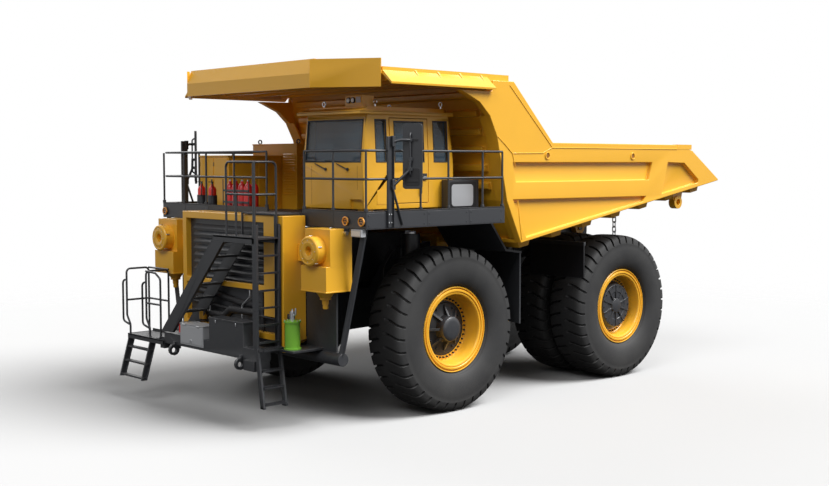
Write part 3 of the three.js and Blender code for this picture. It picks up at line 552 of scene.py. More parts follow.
def repeat_tree():
    tree, graph, given = new_tree("repeat", [("Item", "Geometry"), ("Count", "Int"), ("Centre", "Vector"),
                                             ("Step", "Vector"), ("Turn", "Vector"), ("Finish", "Material")])
    index = graph.add("GeometryNodeInputIndex")

    def times(vector):
        return graph.add("ShaderNodeVectorMath", {"operation": "SCALE"}, {0: vector, "Scale": index})

    home = graph.add("ShaderNodeVectorMath", {"operation": "SCALE"}, {0: given["Centre"], "Scale": -1.0})
    item = graph.add("GeometryNodeTransform", None, {"Geometry": given["Item"], "Translation": home})
    place = graph.add("ShaderNodeVectorMath", {"operation": "ADD"},
                      {0: given["Centre"], 1: times(given["Step"])})
    points = graph.add("GeometryNodePoints", None, {"Count": given["Count"], "Position": place})
    spin = graph.add("FunctionNodeEulerToRotation", None, {0: times(given["Turn"])})
    copies = graph.add("GeometryNodeInstanceOnPoints", None,
                       {"Points": points, "Instance": item, "Rotation": spin})
    solid = graph.add("GeometryNodeRealizeInstances", None, {0: copies})
    welded = graph.add("GeometryNodeMergeByDistance", None, {"Geometry": solid, "Distance": 0.00005})
    done = graph.add("GeometryNodeSetMaterial", None, {"Geometry": welded, "Material": given["Finish"]})
    graph.add("NodeGroupOutput", None, {"Geometry": done})
    return tree


REPEAT = repeat_tree()


def grown(source, tree, values):
    """Runs a tree on an object, and gives the plain mesh that it makes."""
    modifier = source.modifiers.new(tree.name, "NODES")
    modifier.node_group = tree
    for item in tree.interface.items_tree:
        if item.in_out == "INPUT" and item.name in values:
            modifier[item.identifier] = values[item.name]
    bpy.context.view_layer.update()
    evaluated = source.evaluated_get(bpy.context.evaluated_depsgraph_get())
    mesh = bpy.data.meshes.new_from_object(evaluated)
    bpy.data.objects.remove(source)
    return mesh


def repeated(shape, count, centre=(0, 0, 0), step=(0, 0, 0), turn=(0, 0, 0)):
    ink = shape.inks[0]
    return grown(shape.object("item"), REPEAT, {"Count": count, "Centre": tuple(centre), "Step": tuple(step),
                                                "Turn": tuple(turn), "Finish": ink})


print("repeat tree", len(REPEAT.nodes), "nodes")


# %% [markdown]
# Rails, hoses, seams and grab handles are bent round bars. The second tree rounds the corners of a path
# and sweeps a circle along it. A curve object's own bevel depth would do nearly the same, but the tree
# rounds every corner by one radius and closes the ends.


# %% A tree that sweeps a pipe
def pipe_tree():
    tree, graph, given = new_tree("pipe", [("Path", "Geometry"), ("Radius", "Float"), ("Sides", "Int"),
                                           ("Bend", "Float"), ("Finish", "Material")])
    rounded = graph.add("GeometryNodeFilletCurve", {"mode": "POLY"},
                        {"Curve": given["Path"], "Radius": given["Bend"], "Limit Radius": True, 1: 5})
    ring = graph.add("GeometryNodeCurvePrimitiveCircle", None,
                     {"Resolution": given["Sides"], "Radius": given["Radius"]})
    swept = graph.add("GeometryNodeCurveToMesh", None,
                      {"Curve": rounded, "Profile Curve": ring, "Fill Caps": True})
    solid = graph.add("GeometryNodeRealizeInstances", None, {0: swept})
    done = graph.add("GeometryNodeSetMaterial", None, {"Geometry": solid, "Material": given["Finish"]})
    graph.add("NodeGroupOutput", None, {"Geometry": done})
    return tree


PIPE = pipe_tree()


def pipes(shape, runs, radius, bend=0.08, sides=10):
    """Adds round pipes along paths to a shape, in its present finish."""
    curve = bpy.data.curves.new("path", "CURVE")
    curve.dimensions = "3D"
    for run in runs:
        spline = curve.splines.new("POLY")
        spline.points.add(len(run) - 1)
        for point, place in zip(spline.points, run):
            point.co = (*place, 1)
    values = {"Radius": radius, "Sides": sides, "Bend": bend, "Finish": shape.inks[shape.ink]}
    return shape.add(grown(link_object("path", curve), PIPE, values))


def bolts(shape, count, centre, radius, size, along="x", depth=0.03):
    """A ring of six-sided bolt heads about an axis."""
    place = AXES[along]
    middle = Vector(centre)
    head = Shape(shape.inks[shape.ink])
    foot = middle + Vector(place(0, radius, 0))
    head.rod(foot, foot + Vector(place(depth, 0, 0)), size, 6)
    turn = place(2 * math.pi / count, 0, 0)
    return shape.add(repeated(head, count, centre, turn=turn))


print("pipe tree", len(PIPE.nodes), "nodes")

# %% [markdown]
# ## Tyres
# Each tyre is a lathe profile cut by 38 lateral grooves a side, staggered from one side to the other.
# Boolean cuts would leave ragged faces on the shoulder. One pitch of tread is a grid instead, whose
# columns follow the groove edges and whose rows follow the section, and the repeat tree turns it round
# the axle and welds the pitches into one closed body.

# %% One pitch of tread
PITCHES = 38
GROOVE_DEPTH = 0.062
TYRE_HALF = 0.46
# distance from the middle of the tread, radius, share of the groove depth
HALF_SECTION = [
    (0.055, 1.5295, 0), (0.085, 1.529, 0.5), (0.120, 1.528, 1), (0.200, 1.526, 1), (0.280, 1.521, 1),
    (0.335, 1.511, 1), (0.378, 1.492, 1), (0.408, 1.458, 1), (0.427, 1.412, 0.8), (0.437, 1.372, 0.4),
    (0.446, 1.345, 0), (0.444, 1.333, 0), (0.456, 1.270, 0), (0.463, 1.180, 0), (0.461, 1.090, 0),
    (0.448, 1.000, 0), (0.426, 0.925, 0), (0.398, 0.868, 0), (0.384, 0.850, 0), (0.372, 0.846, 0),
    (0.352, 0.820, 0), (0.322, 0.806, 0), (0.303, 0.804, 0), (0.300, 0.702, 0)]
COLUMNS = [0.0, 0.07, 0.14, 0.18, 0.25, 0.32, 0.36, 0.43, 0.5,
           0.57, 0.64, 0.68, 0.75, 0.82, 0.86, 0.93, 1.0]
SHOULDER_FROM = 1.50
SHOULDER_DEEP = 0.14
# shares of one pitch
GROOVE_HALF = 0.110
GROOVE_WALL = 0.04
GROOVE_SWEEP = 0.55


def groove(phase):
    """0 on a lug, 1 on the floor of a groove centred on a quarter of the pitch."""
    return max(0.0, min(1.0, (GROOVE_HALF - abs(phase - 0.25)) / GROOVE_WALL))


def tread_pitch(ink):
    section = [(-a, r, d, 0.0) for a, r, d in reversed(HALF_SECTION)] + [(0.0, 1.530, 0, 0.0)]
    section += [(a, r, d, 0.5) for a, r, d in HALF_SECTION]
    shape = Shape(ink)
    grid = []
    for u in COLUMNS:
        column = []
        for a, r, depth, phase in section:
            cut = GROOVE_DEPTH * depth * groove((u - phase) % 1.0)
            slope = max(0.0, min(1.0, (SHOULDER_FROM - r) / SHOULDER_DEEP)) if depth else 0.0
            r_cut = r - cut * (1 - 0.6 * slope)
            a_cut = a - math.copysign(cut * 0.9 * slope, a)
            angle = 2 * math.pi / PITCHES * (u + GROOVE_SWEEP * (abs(a) / TYRE_HALF) ** 2)
            point = (a_cut, r_cut * math.cos(angle), r_cut * math.sin(angle))
            column.append(shape.mesh.verts.new(point))
        grid.append(column)
    rows = len(section)
    for left, right in zip(grid, grid[1:]):
        for j in range(rows):
            k = (j + 1) % rows
            shape.face((left[j], left[k], right[k], right[j]))
    return shape


TYRE = repeated(tread_pitch(rubber), PITCHES, turn=(2 * math.pi / PITCHES, 0, 0))
print("tyre", len(TYRE.polygons), "faces")

# %% [markdown]
# The front wheels carry one tyre each and the rear wheels two. All six are the same mesh, but a linked
# copy keeps its place in its object and not in its mesh, so each tyre takes the mesh in and moves it.

# %% Six tyres
FRONT_TYRE_X = FRONT_AXLE.x
REAR_TYRE_X = REAR_AXLE.x
DUAL_SPACING = 1.04


def tyre(x, y):
    return Shape(rubber).add(TYRE).moved(Matrix.Translation((x, y, AXLE_Z)))


pair("front_tyre_tread", "wheel_front_*", lambda: tyre(FRONT_TYRE_X, 0), "front_tyre_*", 0)
pair("rear_outer_tread", "wheel_rear_*", lambda: tyre(REAR_TYRE_X, WHEELBASE), "rear_outer_tyre_*", 0)
pair("rear_inner_tread", "wheel_rear_*", lambda: tyre(REAR_TYRE_X - DUAL_SPACING, WHEELBASE),
     "rear_inner_tyre_*", 0)

# %% [markdown]
# ## Rims, hubs and wheel bolts
# A mining rim is built of rings: a flange, a lock ring and a bead seat, which show as steps of yellow
# paint around a deep barrel. At its floor a row of bolts holds it to the black hub. All of it is turned
# work, so one profile of distance and radius gives the true steps, and nothing has to be cut.

# %% Rims
# (distance out from the tyre's middle, radius)
OUTER_RINGS = [(0.304, 0.700), (0.304, 0.792), (0.322, 0.801), (0.344, 0.799), (0.355, 0.788),
               (0.352, 0.775), (0.316, 0.770), (0.314, 0.758), (0.346, 0.750), (0.357, 0.740),
               (0.358, 0.712), (0.350, 0.704), (0.326, 0.702), (0.326, 0.694), (0.345, 0.690),
               (0.345, 0.676), (0.338, 0.660), (0.322, 0.650), (0.296, 0.644)]
FRONT_HUB = (FRONT_TYRE_X, 0, AXLE_Z)
REAR_HUB = (REAR_TYRE_X, WHEELBASE, AXLE_Z)
INNER_RINGS = [(-a, r) for a, r in reversed(OUTER_RINGS[:-3])]


def front_rim():
    floor = [(0.12, 0.628), (0.045, 0.612), (0.032, 0.600), (0.030, 0.500), (-0.02, 0.500), (-0.02, 0.640)]
    section = OUTER_RINGS + floor + [(-0.34, 0.650)] + INNER_RINGS
    return Shape(yellow).turn(section, FRONT_HUB, steps=96, loop=True)


def front_hub():
    cover = [(0.000, 0.0), (0.000, 0.515), (0.042, 0.515), (0.046, 0.480), (0.062, 0.470), (0.072, 0.360),
             (0.100, 0.262), (0.200, 0.236), (0.236, 0.232), (0.262, 0.222), (0.278, 0.200), (0.284, 0.150),
             (0.286, 0.0)]
    shape = Shape(black).turn(cover, FRONT_HUB, steps=64)
    x = FRONT_TYRE_X
    outline = [(x + 0.05, AXLE_Z + 0.22), (x + 0.20, AXLE_Z + 0.22), (x + 0.055, AXLE_Z + 0.46)]
    rib = Shape(dark).prism(outline, "y", -0.022, 0.022)
    shape.use(dark).add(repeated(rib, 8, FRONT_HUB, turn=(2 * math.pi / 8, 0, 0)))
    dome = [(0.190, 0.0), (0.190, 0.238), (0.240, 0.236), (0.266, 0.226), (0.284, 0.200), (0.292, 0.150),
            (0.294, 0.0)]
    shape.turn(dome, FRONT_HUB, steps=64).use(black)
    bolts(shape, 40, (x + 0.030, 0, AXLE_Z), 0.553, 0.019, depth=0.036)
    return bolts(shape, 12, (x + 0.060, 0, AXLE_Z), 0.415, 0.020, depth=0.030)


pair("front_rim_rings", "wheel_front_*", front_rim, "front_rim_*", 0)
pair("front_hub", "wheel_front_*", front_hub, "", 0.003)


def rear_rim():
    floor = [(0.14, 0.634), (0.075, 0.620), (0.062, 0.606), (0.060, 0.520), (0.01, 0.520), (0.01, 0.640),
             (-0.34, 0.650)]
    shape = Shape(yellow).turn(OUTER_RINGS + floor + INNER_RINGS, REAR_HUB, steps=96, loop=True)
    second = OUTER_RINGS + [(-0.33, 0.645)] + INNER_RINGS
    return shape.turn([(a - DUAL_SPACING, r) for a, r in second], REAR_HUB, steps=64, loop=True)


def wheel_motor():
    x = REAR_TYRE_X
    cover = [(0.0, 0.0), (0.0, 0.530), (0.072, 0.530), (0.075, 0.505), (0.105, 0.500), (0.118, 0.485),
             (0.205, 0.462), (0.222, 0.448), (0.226, 0.300), (0.214, 0.290), (0.214, 0.160), (0.240, 0.150),
             (0.246, 0.130), (0.248, 0.0)]
    shape = Shape(dark).turn(cover, REAR_HUB, steps=64)
    rib = Shape(dark)
    rib.box(x + 0.20, x + 0.238, WHEELBASE - 0.016, WHEELBASE + 0.016, AXLE_Z + 0.14, AXLE_Z + 0.445)
    shape.add(repeated(rib, 10, REAR_HUB, turn=(2 * math.pi / 10, 0, 0))).use(black)
    bolts(shape, 44, (x + 0.055, WHEELBASE, AXLE_Z), 0.570, 0.018, depth=0.036)
    bolts(shape, 20, (x + 0.215, WHEELBASE, AXLE_Z), 0.420, 0.014, depth=0.026)
    drum = [(-1.40, 0.42), (-1.40, 0.62), (-0.62, 0.62), (-0.60, 0.60), (-0.36, 0.60), (-0.36, 0.42)]
    return shape.use(dark).turn(drum, REAR_HUB, steps=48, loop=True)


pair("rear_rim_rings", "wheel_rear_*", rear_rim, "rear_rim_*", 0)
pair("wheel_motor", "wheel_rear_*", wheel_motor, "", 0.003)

# %% [markdown]
# ## Steel plate from the CAD solids
# The bed, canopy, frame, deck and tanks already have their true shape, so they are not made again. Their
# meshes are loose triangles, on which a bevel would round every triangle's edge. So a copy is merged,
# flat neighbours are dissolved into whole faces, and then a bevel rounds what is left. The copy stands
# for the CAD node.


# %% Softened copies
CAD_WELD = 0.00005
FLAT = math.radians(0.6)


def merged_copy(name):
    """The CAD node's loose triangles, joined into one bmesh."""
    mesh = bmesh.new()
    mesh.from_mesh(nodes[name].data)
    bmesh.ops.remove_doubles(mesh, verts=mesh.verts, dist=CAD_WELD)
    return mesh


def softened(name, ink, width=0.008, segments=2, sharp=SHARP_ABOVE):
    mesh = merged_copy(name)
    bmesh.ops.dissolve_limit(mesh, angle_limit=FLAT, verts=mesh.verts, edges=mesh.edges,
                             delimit={"NORMAL"})
    made = built_object(f"{name}_plate", mesh, [ink])
    smooth(made.data, sharp)
    soften(made, width, segments)
    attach(made, nodes[name]["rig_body"])
    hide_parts(name)
    print(made.name, len(made.data.polygons), "faces")


for name in ("bed_side_left", "bed_side_right", "bed_front_wall", "bed_floor", "canopy"):
    softened(name, yellow, 0.012, 3)
for name in ("radiator_frame", "cab_door"):
    softened(name, yellow, 0.010, 3)
for name in ("frame", "bumper", "deck_support", "engine", "rear_axle", "tie_rod"):
    softened(name, dark)
for name in ("fuel_tank", "hydraulic_tank"):
    softened(name, black, 0.010)
softened("radiator_core", dark, 0.003, 1, 8)
softened("deck", plate, 0.006)
for side in ("left", "right"):
    softened(f"front_strut_{side}", dark)
    softened(f"knuckle_{side}", dark)
    softened(f"rear_strut_{side}", dark, 0.006)

# %% [markdown]
# The deck's skirt is made of folded panels bolted side by side. Thin plates with a gap between them, a strip
# along the top and a row of bolt heads show that, where a plain band would look cast. A bump map could draw
# the gaps, but they would stay flat in outline and would not be in the mesh.

# %% Skirt panels
DECK_HALF = 3.18
DECK_FRONT = -2.565
PANEL = (3.515, 3.775)


def skirt_panels():
    shape = Shape(dark)
    for y0, y1 in ((-2.55, -1.17), (-1.15, -0.12), (-0.10, 0.80)):
        shape.box(DECK_HALF - 0.002, DECK_HALF + 0.004, y0, y1, *PANEL)
        for y in (y0 + 0.05, y1 - 0.05):
            for z in (3.56, 3.73):
                shape.rod((DECK_HALF + 0.003, y, z), (DECK_HALF + 0.012, y, z), 0.013, 6)
    for x0, x1 in ((1.52, 2.32), (2.34, 3.17)):
        shape.box(x0, x1, DECK_FRONT - 0.004, DECK_FRONT + 0.002, *PANEL)
    strip = (SKIRT_TOP - 0.0015, SKIRT_TOP + 0.006)
    shape.box(DECK_HALF - 0.05, DECK_HALF + 0.006, DECK_FRONT, 0.84, *strip)
    return shape.box(1.50, DECK_HALF + 0.006, DECK_FRONT - 0.006, DECK_FRONT + 0.05, *strip)


pair("skirt_panels", "chassis", skirt_panels, bevel=0.002)

# %% [markdown]
# ## Load bed details
# Weld seams run where the side sheets meet, a lifting hole near each end of the top rail is a collar round a
# dark disc of painted shade, a stone ejector hangs on a chain between the twin tyres, and a tow eye sits
# under the tail. A weld is a round bead that stands proud, so each seam is a thin swept pipe, half sunk in
# the sheet.

# %% Bed seams, holes, chain and tail eye
BED_X = 3.10


def bed_trim():
    shape = Shape(yellow)
    x = BED_X + 0.002
    seams = [[(x, 0.735, 5.10), (x, 0.93, 4.96), (x, 1.14, 4.79), (x, 1.225, 4.53)],
             [(x, 1.14, 4.79), (x, 2.02, 4.80), (x, 2.29, 4.905), (x, 6.50, 4.905)],
             [(x, 1.06, 6.06), (x, 2.25, 4.955), (x, 2.29, 4.905)],
             [(x, 6.50, 4.905), (x, 6.55, 4.975)], [(x, 1.30, 3.90), (x, 1.42, 3.15)]]
    pipes(shape, seams, 0.009, 0.05, 8)
    collar = [(0.0, 0.05), (0.018, 0.052), (0.018, 0.074), (0.0, 0.078)]
    painted_hole_shade = [(-0.002, 0.0), (0.004, 0.052), (0.006, 0.0)]
    for y in (2.155, 4.894):
        shape.use(yellow).turn(collar, (BED_X, y, 4.75), steps=32, loop=True)
        # painted shade: a dark disc inside each collar stands for the shadow in the lifting hole
        shape.use(painted_shade_yellow).turn(painted_hole_shade, (BED_X, y, 4.75), steps=32)
    shape.use(yellow).box(2.97, BED_X + 0.004, 6.52, 7.06, 4.90, 5.008)
    return shape


pair("bed_trim", "dump_bed", bed_trim)


def rock_ejector():
    shape = Shape(steel)
    x, y = 1.78, 6.03
    top = bed_under(y) - 0.10
    link = Shape(steel)
    ring = [(y + 0.042 * math.cos(a),
             top - 0.10 + math.copysign(0.032, math.sin(a)) + 0.036 * math.sin(a))
            for a in angles(16, 0.5)]
    pipes(link, [[(x, u, v) for u, v in ring + ring[:1]]], 0.013, 0, 8)
    shape.add(repeated(link, 7, (x, y, 0), step=(0, 0, -0.108), turn=(0, 0, math.pi / 2)))
    shape.use(yellow).prism([(y - 0.09, top + 0.11), (y + 0.09, top + 0.11), (y + 0.05, top - 0.05),
                             (y - 0.05, top - 0.05)], "x", x - 0.02, x + 0.02)
    return shape


pair("rock_ejector", "dump_bed", rock_ejector, bevel=0)


def tail_eye():
    x, y = 2.86, 6.82
    under = bed_under(y)
    lug = [(y - 0.20, under), (y + 0.20, under), (y + 0.15, under - 0.20), (y - 0.15, under - 0.20)]
    shape = Shape(yellow).prism(lug, "x", x - 0.05, x + 0.05)
    return shape.eye((x, y, under - 0.25), 0.08, 0.070, 0.145, steps=32)


pair("tail_eye", "dump_bed", tail_eye)

# %% [markdown]
# ## Hoist cylinders
# Each cylinder leans a little towards the tail. A polished rod slides out of a painted barrel with
# collars at its gland and near its foot, and both have eyes for their pins. Barrel and rod ride on two
# bodies, so they are two pieces, and the rod runs on inside the barrel far enough for the full stroke.

# %% Hoist cylinders
HOIST_X = 0.98
FOOT = Vector((HOIST_X, 2.85, 0.87))
HEAD = Vector((HOIST_X, 3.45, 3.11))
LEAN = (HEAD - FOOT).normalized()


def hoist_barrel():
    shape = Shape(dark)
    shape.rod(FOOT + LEAN * 0.11, FOOT + LEAN * 2.08, 0.162, 36, ease=0.012)
    shape.rod(FOOT + LEAN * 2.03, FOOT + LEAN * 2.15, 0.185, 36, ease=0.008)
    shape.rod(FOOT + LEAN * 0.60, FOOT + LEAN * 0.66, 0.176, 36, ease=0.008)
    shape.eye(FOOT, 0.10, 0.08, 0.14)
    across = Vector((0, LEAN.z, -LEAN.y))
    port = FOOT + LEAN * 0.35
    return shape.rod(port + across * 0.15, port + across * 0.23, 0.035, 12)


def hoist_rod():
    shape = Shape(chrome).rod(FOOT + LEAN * 0.25, HEAD - LEAN * 0.10, 0.102, 36)
    return shape.use(dark).eye(HEAD, 0.06, 0.08, 0.125)


pair("hoist_tube", "hoist_barrel_*", hoist_barrel, "hoist_barrel_*", 0.003)
pair("hoist_shaft", "hoist_rod_*", hoist_rod, "hoist_rod_*", 0.003)

# %% [markdown]
# ## Handrails
# Round tube with a knee rail and posts, standing in sockets on the deck skirt. Each run is a list of
# corners that follows the skirt, and the pipe tree sweeps it, so a rail bends in one piece as a real
# tube does. Cylinders end to end would show a joint at every corner.


# %% Handrails
RAIL_TUBE = 0.021


def handrail(corners, posts):
    shape = Shape(dark)
    runs = [[(x, y, z) for x, y in corners] for z in (RAIL_HIGH - 0.002, RAIL_MID)]
    pipes(shape, runs, RAIL_TUBE, 0.12, 12)
    pipes(shape, [[(x, y, SKIRT_TOP - 0.16), (x, y, RAIL_HIGH - 0.01)] for x, y in posts], 0.020, 0, 12)
    for x, y in posts:
        shape.rod((x, y, SKIRT_TOP - 0.002), (x, y, SKIRT_TOP + 0.05), 0.034, 16, ease=0.004)
    return shape


RAIL_END = 0.80
LEFT_POSTS = [(x, RAIL_Y) for x in (1.50, 2.30, RAIL_X)]
LEFT_POSTS += [(RAIL_X, y) for y in (-1.97, -1.29, -0.61, 0.27, RAIL_END)]
RIGHT_POSTS = [(x, RAIL_Y) for x in (0.38, -0.66, -1.61, -2.40, -RAIL_X)]
RIGHT_POSTS += [(-RAIL_X, y) for y in (-1.70, -0.85, 0.0, RAIL_END)]
for side, x, posts in (("left", RAIL_X, LEFT_POSTS), ("right", -RAIL_X, RIGHT_POSTS)):
    corners = [posts[0], (x, RAIL_Y), (x, RAIL_END)]
    piece(f"rail_tubes_{side}", "chassis", handrail(corners, posts), [f"handrail_{side}"], 0)

# %% [markdown]
# ## Stair, ladder and landing
# The stair crosses the nose between two folded stringers. Its treads, like the ladder's, are open
# gratings: a frame with bars across, so that mud falls through. One grating is made, with its bars
# copied by the repeat tree, and the same tree sets the treads up the slope.

# %% Front stair
STAIR_FRONT = -3.64
STAIR_BACK = -3.13
STAIR_LOW = (-1.40, 1.43)
STAIR_HIGH = (0.42, 3.33)
TREADS = 7
SHEET = 0.012


def grating(x0, x1, y0, y1, z0, z1, bars):
    """An open tread: a rim, and bars along X at even steps in Y."""
    shape = Shape(dark)
    shape.box(x0, x0 + SHEET, y0, y1, z0, z1).box(x1 - SHEET, x1, y0, y1, z0, z1)
    shape.box(x0, x1, y0, y0 + SHEET, z0, z1).box(x0, x1, y1 - SHEET, y1, z0, z1)
    bar = Shape(dark).box(x0, x1, y0 + 0.02, y0 + 0.028, z0 + 0.006, z1)
    step = (y1 - y0 - 0.048) / (bars - 1)
    return shape.add(repeated(bar, bars, step=(0, step, 0)))


def stair():
    shape = Shape(dark)
    (x0, z0), (x1, z1) = STAIR_LOW, STAIR_HIGH
    outline = [(x0 - 0.13, z0), (x0 + 0.26, z0), (x1 + 0.26, z1), (x1 - 0.13, z1)]
    # the outer stringer has deep folded edges along its top and bottom
    for y, depth in ((STAIR_FRONT, 0.055), (STAIR_BACK - SHEET, SHEET)):
        shape.prism(outline, "y", y, y + SHEET)
        for dx in (-0.13, 0.26 - SHEET):
            edge = [(x0 + dx, z0), (x0 + dx + SHEET, z0), (x1 + dx + SHEET, z1), (x1 + dx, z1)]
            shape.prism(edge, "y", y, y + depth)
    rise, run = (z1 - z0) / TREADS, (x1 - x0) / TREADS
    first_x, first_z = x0 + 0.05 + 0.6 * run, z0 + 0.6 * rise
    tread = grating(first_x - 0.07, first_x + 0.17, STAIR_FRONT + SHEET, STAIR_BACK - SHEET,
                    first_z - 0.035, first_z, 9)
    shape.add(repeated(tread, TREADS, step=(run, 0, rise)))
    shape.use(plate).box(0.25, 1.50, STAIR_FRONT, STAIR_BACK, 3.30, 3.33)
    shape.use(dark).box(0.25, 1.50, STAIR_FRONT, STAIR_FRONT + SHEET, 3.22, 3.345)
    shape.box(0.25, 1.50, STAIR_BACK - SHEET, STAIR_BACK, 3.22, 3.33)
    shape.use(plate).box(0.42, 1.46, STAIR_BACK - 0.001, -2.566, 3.70, 3.73)
    for x in (0.44, 1.42):
        shape.use(dark).box(x, x + 0.03, STAIR_BACK - 0.031, STAIR_BACK, 3.30, 3.729)
    return shape


piece("stair_steps", "chassis", stair(), ["front_stair"], 0.003)


def stair_rails():
    shape = Shape(dark)
    top, middle = 4.63, 4.07
    x0, x1, y0, y1 = 0.65, 1.48, STAIR_FRONT + 0.02, STAIR_BACK - 0.02
    runs = [[(x0, y0, 3.33), (x0, y0, top), (x1, y0, top), (x1, y1, top), (x1, y1, 3.33)],
            [(x0, y0, middle), (x1, y0, middle), (x1, y1, middle)]]
    pipes(shape, runs, RAIL_TUBE, 0.10, 12)
    pipes(shape, [[(x1, y0, 3.32), (x1, y0, top)]], 0.028, 0, 12)
    # a grab handle stands on the inner side of the landing
    return pipes(shape, [[(0.95, y0, 3.33), (0.95, y0, middle)]], RAIL_TUBE, 0, 12)


piece("stair_rails", "chassis", stair_rails(), (), 0)


# %% [markdown]
# The ladder down the operator's side has stringers of channel section, each a web with two flanges, and
# its lowest part leans out towards the ground. Boxes make the upright part, and prisms the slanted one.


# %% Left ladder
def ladder():
    shape = Shape(dark)
    x = 1.50 + HAIR
    for y, web in ((STAIR_FRONT, STAIR_FRONT), (STAIR_BACK - 0.04, STAIR_BACK - SHEET)):
        shape.box(x - 0.06, x + 0.07, web, web + SHEET, 1.42, 3.56)
        for edge in (x - 0.06, x + 0.07 - SHEET):
            shape.box(edge, edge + SHEET, y, y + 0.04, 1.42, 3.56)
        shape.prism([(x, 1.43), (x + 0.075, 1.43), (x + 0.245, 0.40), (x + 0.145, 0.40)], "y", y, y + 0.045)
        shape.box(x + 0.14, x + 0.25, y - 0.01 if y > STAIR_FRONT else y, y + 0.045, 0.40, 0.44)
    rung = grating(x + 0.002, x + 0.058, STAIR_FRONT + 0.01, STAIR_BACK - 0.01, 1.50, 1.532, 6)
    shape.add(repeated(rung, 7, step=(0, 0, 0.30)))
    low = grating(x + 0.05, x + 0.17, STAIR_FRONT + 0.04, STAIR_BACK - 0.04, 1.02, 1.055, 9)
    shape.add(repeated(low, 3, step=(0.0455, 0, -0.285)))
    step = grating(x, x + 0.22, STAIR_FRONT + 0.01, STAIR_BACK - 0.01, 1.385, 1.425, 9)
    return shape.add(step.object_mesh())


piece("ladder_rungs", "chassis", ladder(), ["left_ladder"], 0.003)


# %% [markdown]
# On the other side a landing hangs off the bumper, with a short flight of steps below it and a cage of
# rails. The floor is chequer plate with a folded kerb on each side, so it is built of thin boxes whose
# edges the bevel rounds.


# %% Right landing
def landing():
    top = 1.24
    x0, x1 = -2.80, -1.50 - HAIR
    shape = Shape(plate).box(x0, x1, -3.64, -3.06, top - 0.025, top)
    shape.use(dark).box(x0, x1, -3.64, -3.62, top - 0.09, top + 0.006)
    shape.box(x0, x1, -3.08, -3.06, top - 0.09, top + 0.05)
    shape.box(x0, x0 + 0.02, -3.64, -3.06, top - 0.09, top + 0.006)
    shape.box(-2.70, -1.56, -3.40, -3.34, 1.08, top - 0.024).box(-1.65, x1, -3.60, -3.34, 1.08, 1.30)
    web = [(-3.62, 1.21), (-3.50, 1.21), (-3.73, 0.42), (-3.835, 0.42)]
    flange = [(-3.835, 0.42), (-3.73, 0.42), (-3.50, 1.21), (-3.51, 1.21), (-3.75, 0.43), (-3.825, 0.43)]
    for x in (x0, -2.00):
        shape.prism(web, "x", x, x + 0.03)
        shape.prism(flange, "x", x, x + 0.07)
    rung = Shape(plate).box(-2.79, -1.95, -3.82, -3.72, 0.44, 0.475)
    return shape.use(plate).add(repeated(rung, 3, step=(0, 0.08, 0.265)))


piece("landing_step", "chassis", landing(), ["right_landing"], 0.003)


def landing_rails():
    floor, knee, top = 1.23, 1.90, 2.52
    front, back = -3.62, -3.12
    x0, x1 = -2.85, -2.11
    runs = []
    for x in (-2.76, -2.02):
        runs.append([(x, -3.60, floor), (x, -3.60, 1.42), (x - 0.09, front, 1.60), (x - 0.09, front, top),
                     (x - 0.09, back, top), (x - 0.09, back, floor)])
        runs.append([(x - 0.09, front, 2.30), (x - 0.20, -3.64, 2.30), (x - 0.20, -3.64, 1.48),
                     (x - 0.02, -3.61, 1.42)])
    runs.append([(x0, back, top), (x1, back, top)])
    runs.append([(x0, front, knee), (x0, back, knee), (x1, back, knee)])
    runs.append([(-2.02, -3.60, floor), (-1.62, -3.60, floor + 0.02), (-1.62, -3.60, 2.40),
                 (-1.80, -3.60, 2.50), (x1, front, top)])
    runs.append([(x1, -3.61, knee), (-1.62, -3.60, knee)])
    return pipes(Shape(dark), runs, 0.020, 0.08, 12)


piece("landing_rails", "chassis", landing_rails(), (), 0)

# %% [markdown]
# ## Nose: service box, tow eyes, pipes and the grease tank
# The bumper carries a pale service box and a dark battery tray. Both are folded boxes with a lid, so
# the lid is a box of its own that overhangs a little: its shadow line is what tells it from the side.


# %% Service box and tray lids
def service_box():
    shape = Shape(pale)
    shape.box(-0.905, -0.145, -3.618, -3.30, 1.245, 1.625)
    shape.box(-0.885, -0.165, -3.628, -3.617, 1.275, 1.600)
    shape.box(-0.915, -0.135, -3.628, -3.30, 1.622, 1.640)
    shape.use(steel)
    for x in (-0.76, -0.29):
        shape.rod((x - 0.05, -3.634, 1.618), (x + 0.05, -3.634, 1.618), 0.012, 12)
    shape.box(-0.56, -0.49, -3.640, -3.627, 1.30, 1.36)
    shape.use(red).rod((-0.98, -3.56, 1.52), (-0.98, -3.44, 1.52), 0.045, 20, ease=0.006)
    shape.rod((-0.98, -3.58, 1.44), (-0.98, -3.58, 1.60), 0.014, 12)
    return shape


def tray_lid():
    shape = Shape(dark)
    shape.box(0.022, 1.108, -3.612, -3.30, 1.80, 1.832)
    shape.use(steel)
    for x in (0.25, 0.88):
        shape.rod((x, -3.606, 1.80), (x, -3.606, 1.74), 0.010, 10)
    return shape


piece("service_box", "chassis", service_box())
piece("tray_lid", "chassis", tray_lid())


# %% [markdown]
# Behind the stair the air and coolant pipes cross under the radiator. They are swept in three sizes,
# because what is half hidden in shade reads only by its thickness and its bends.


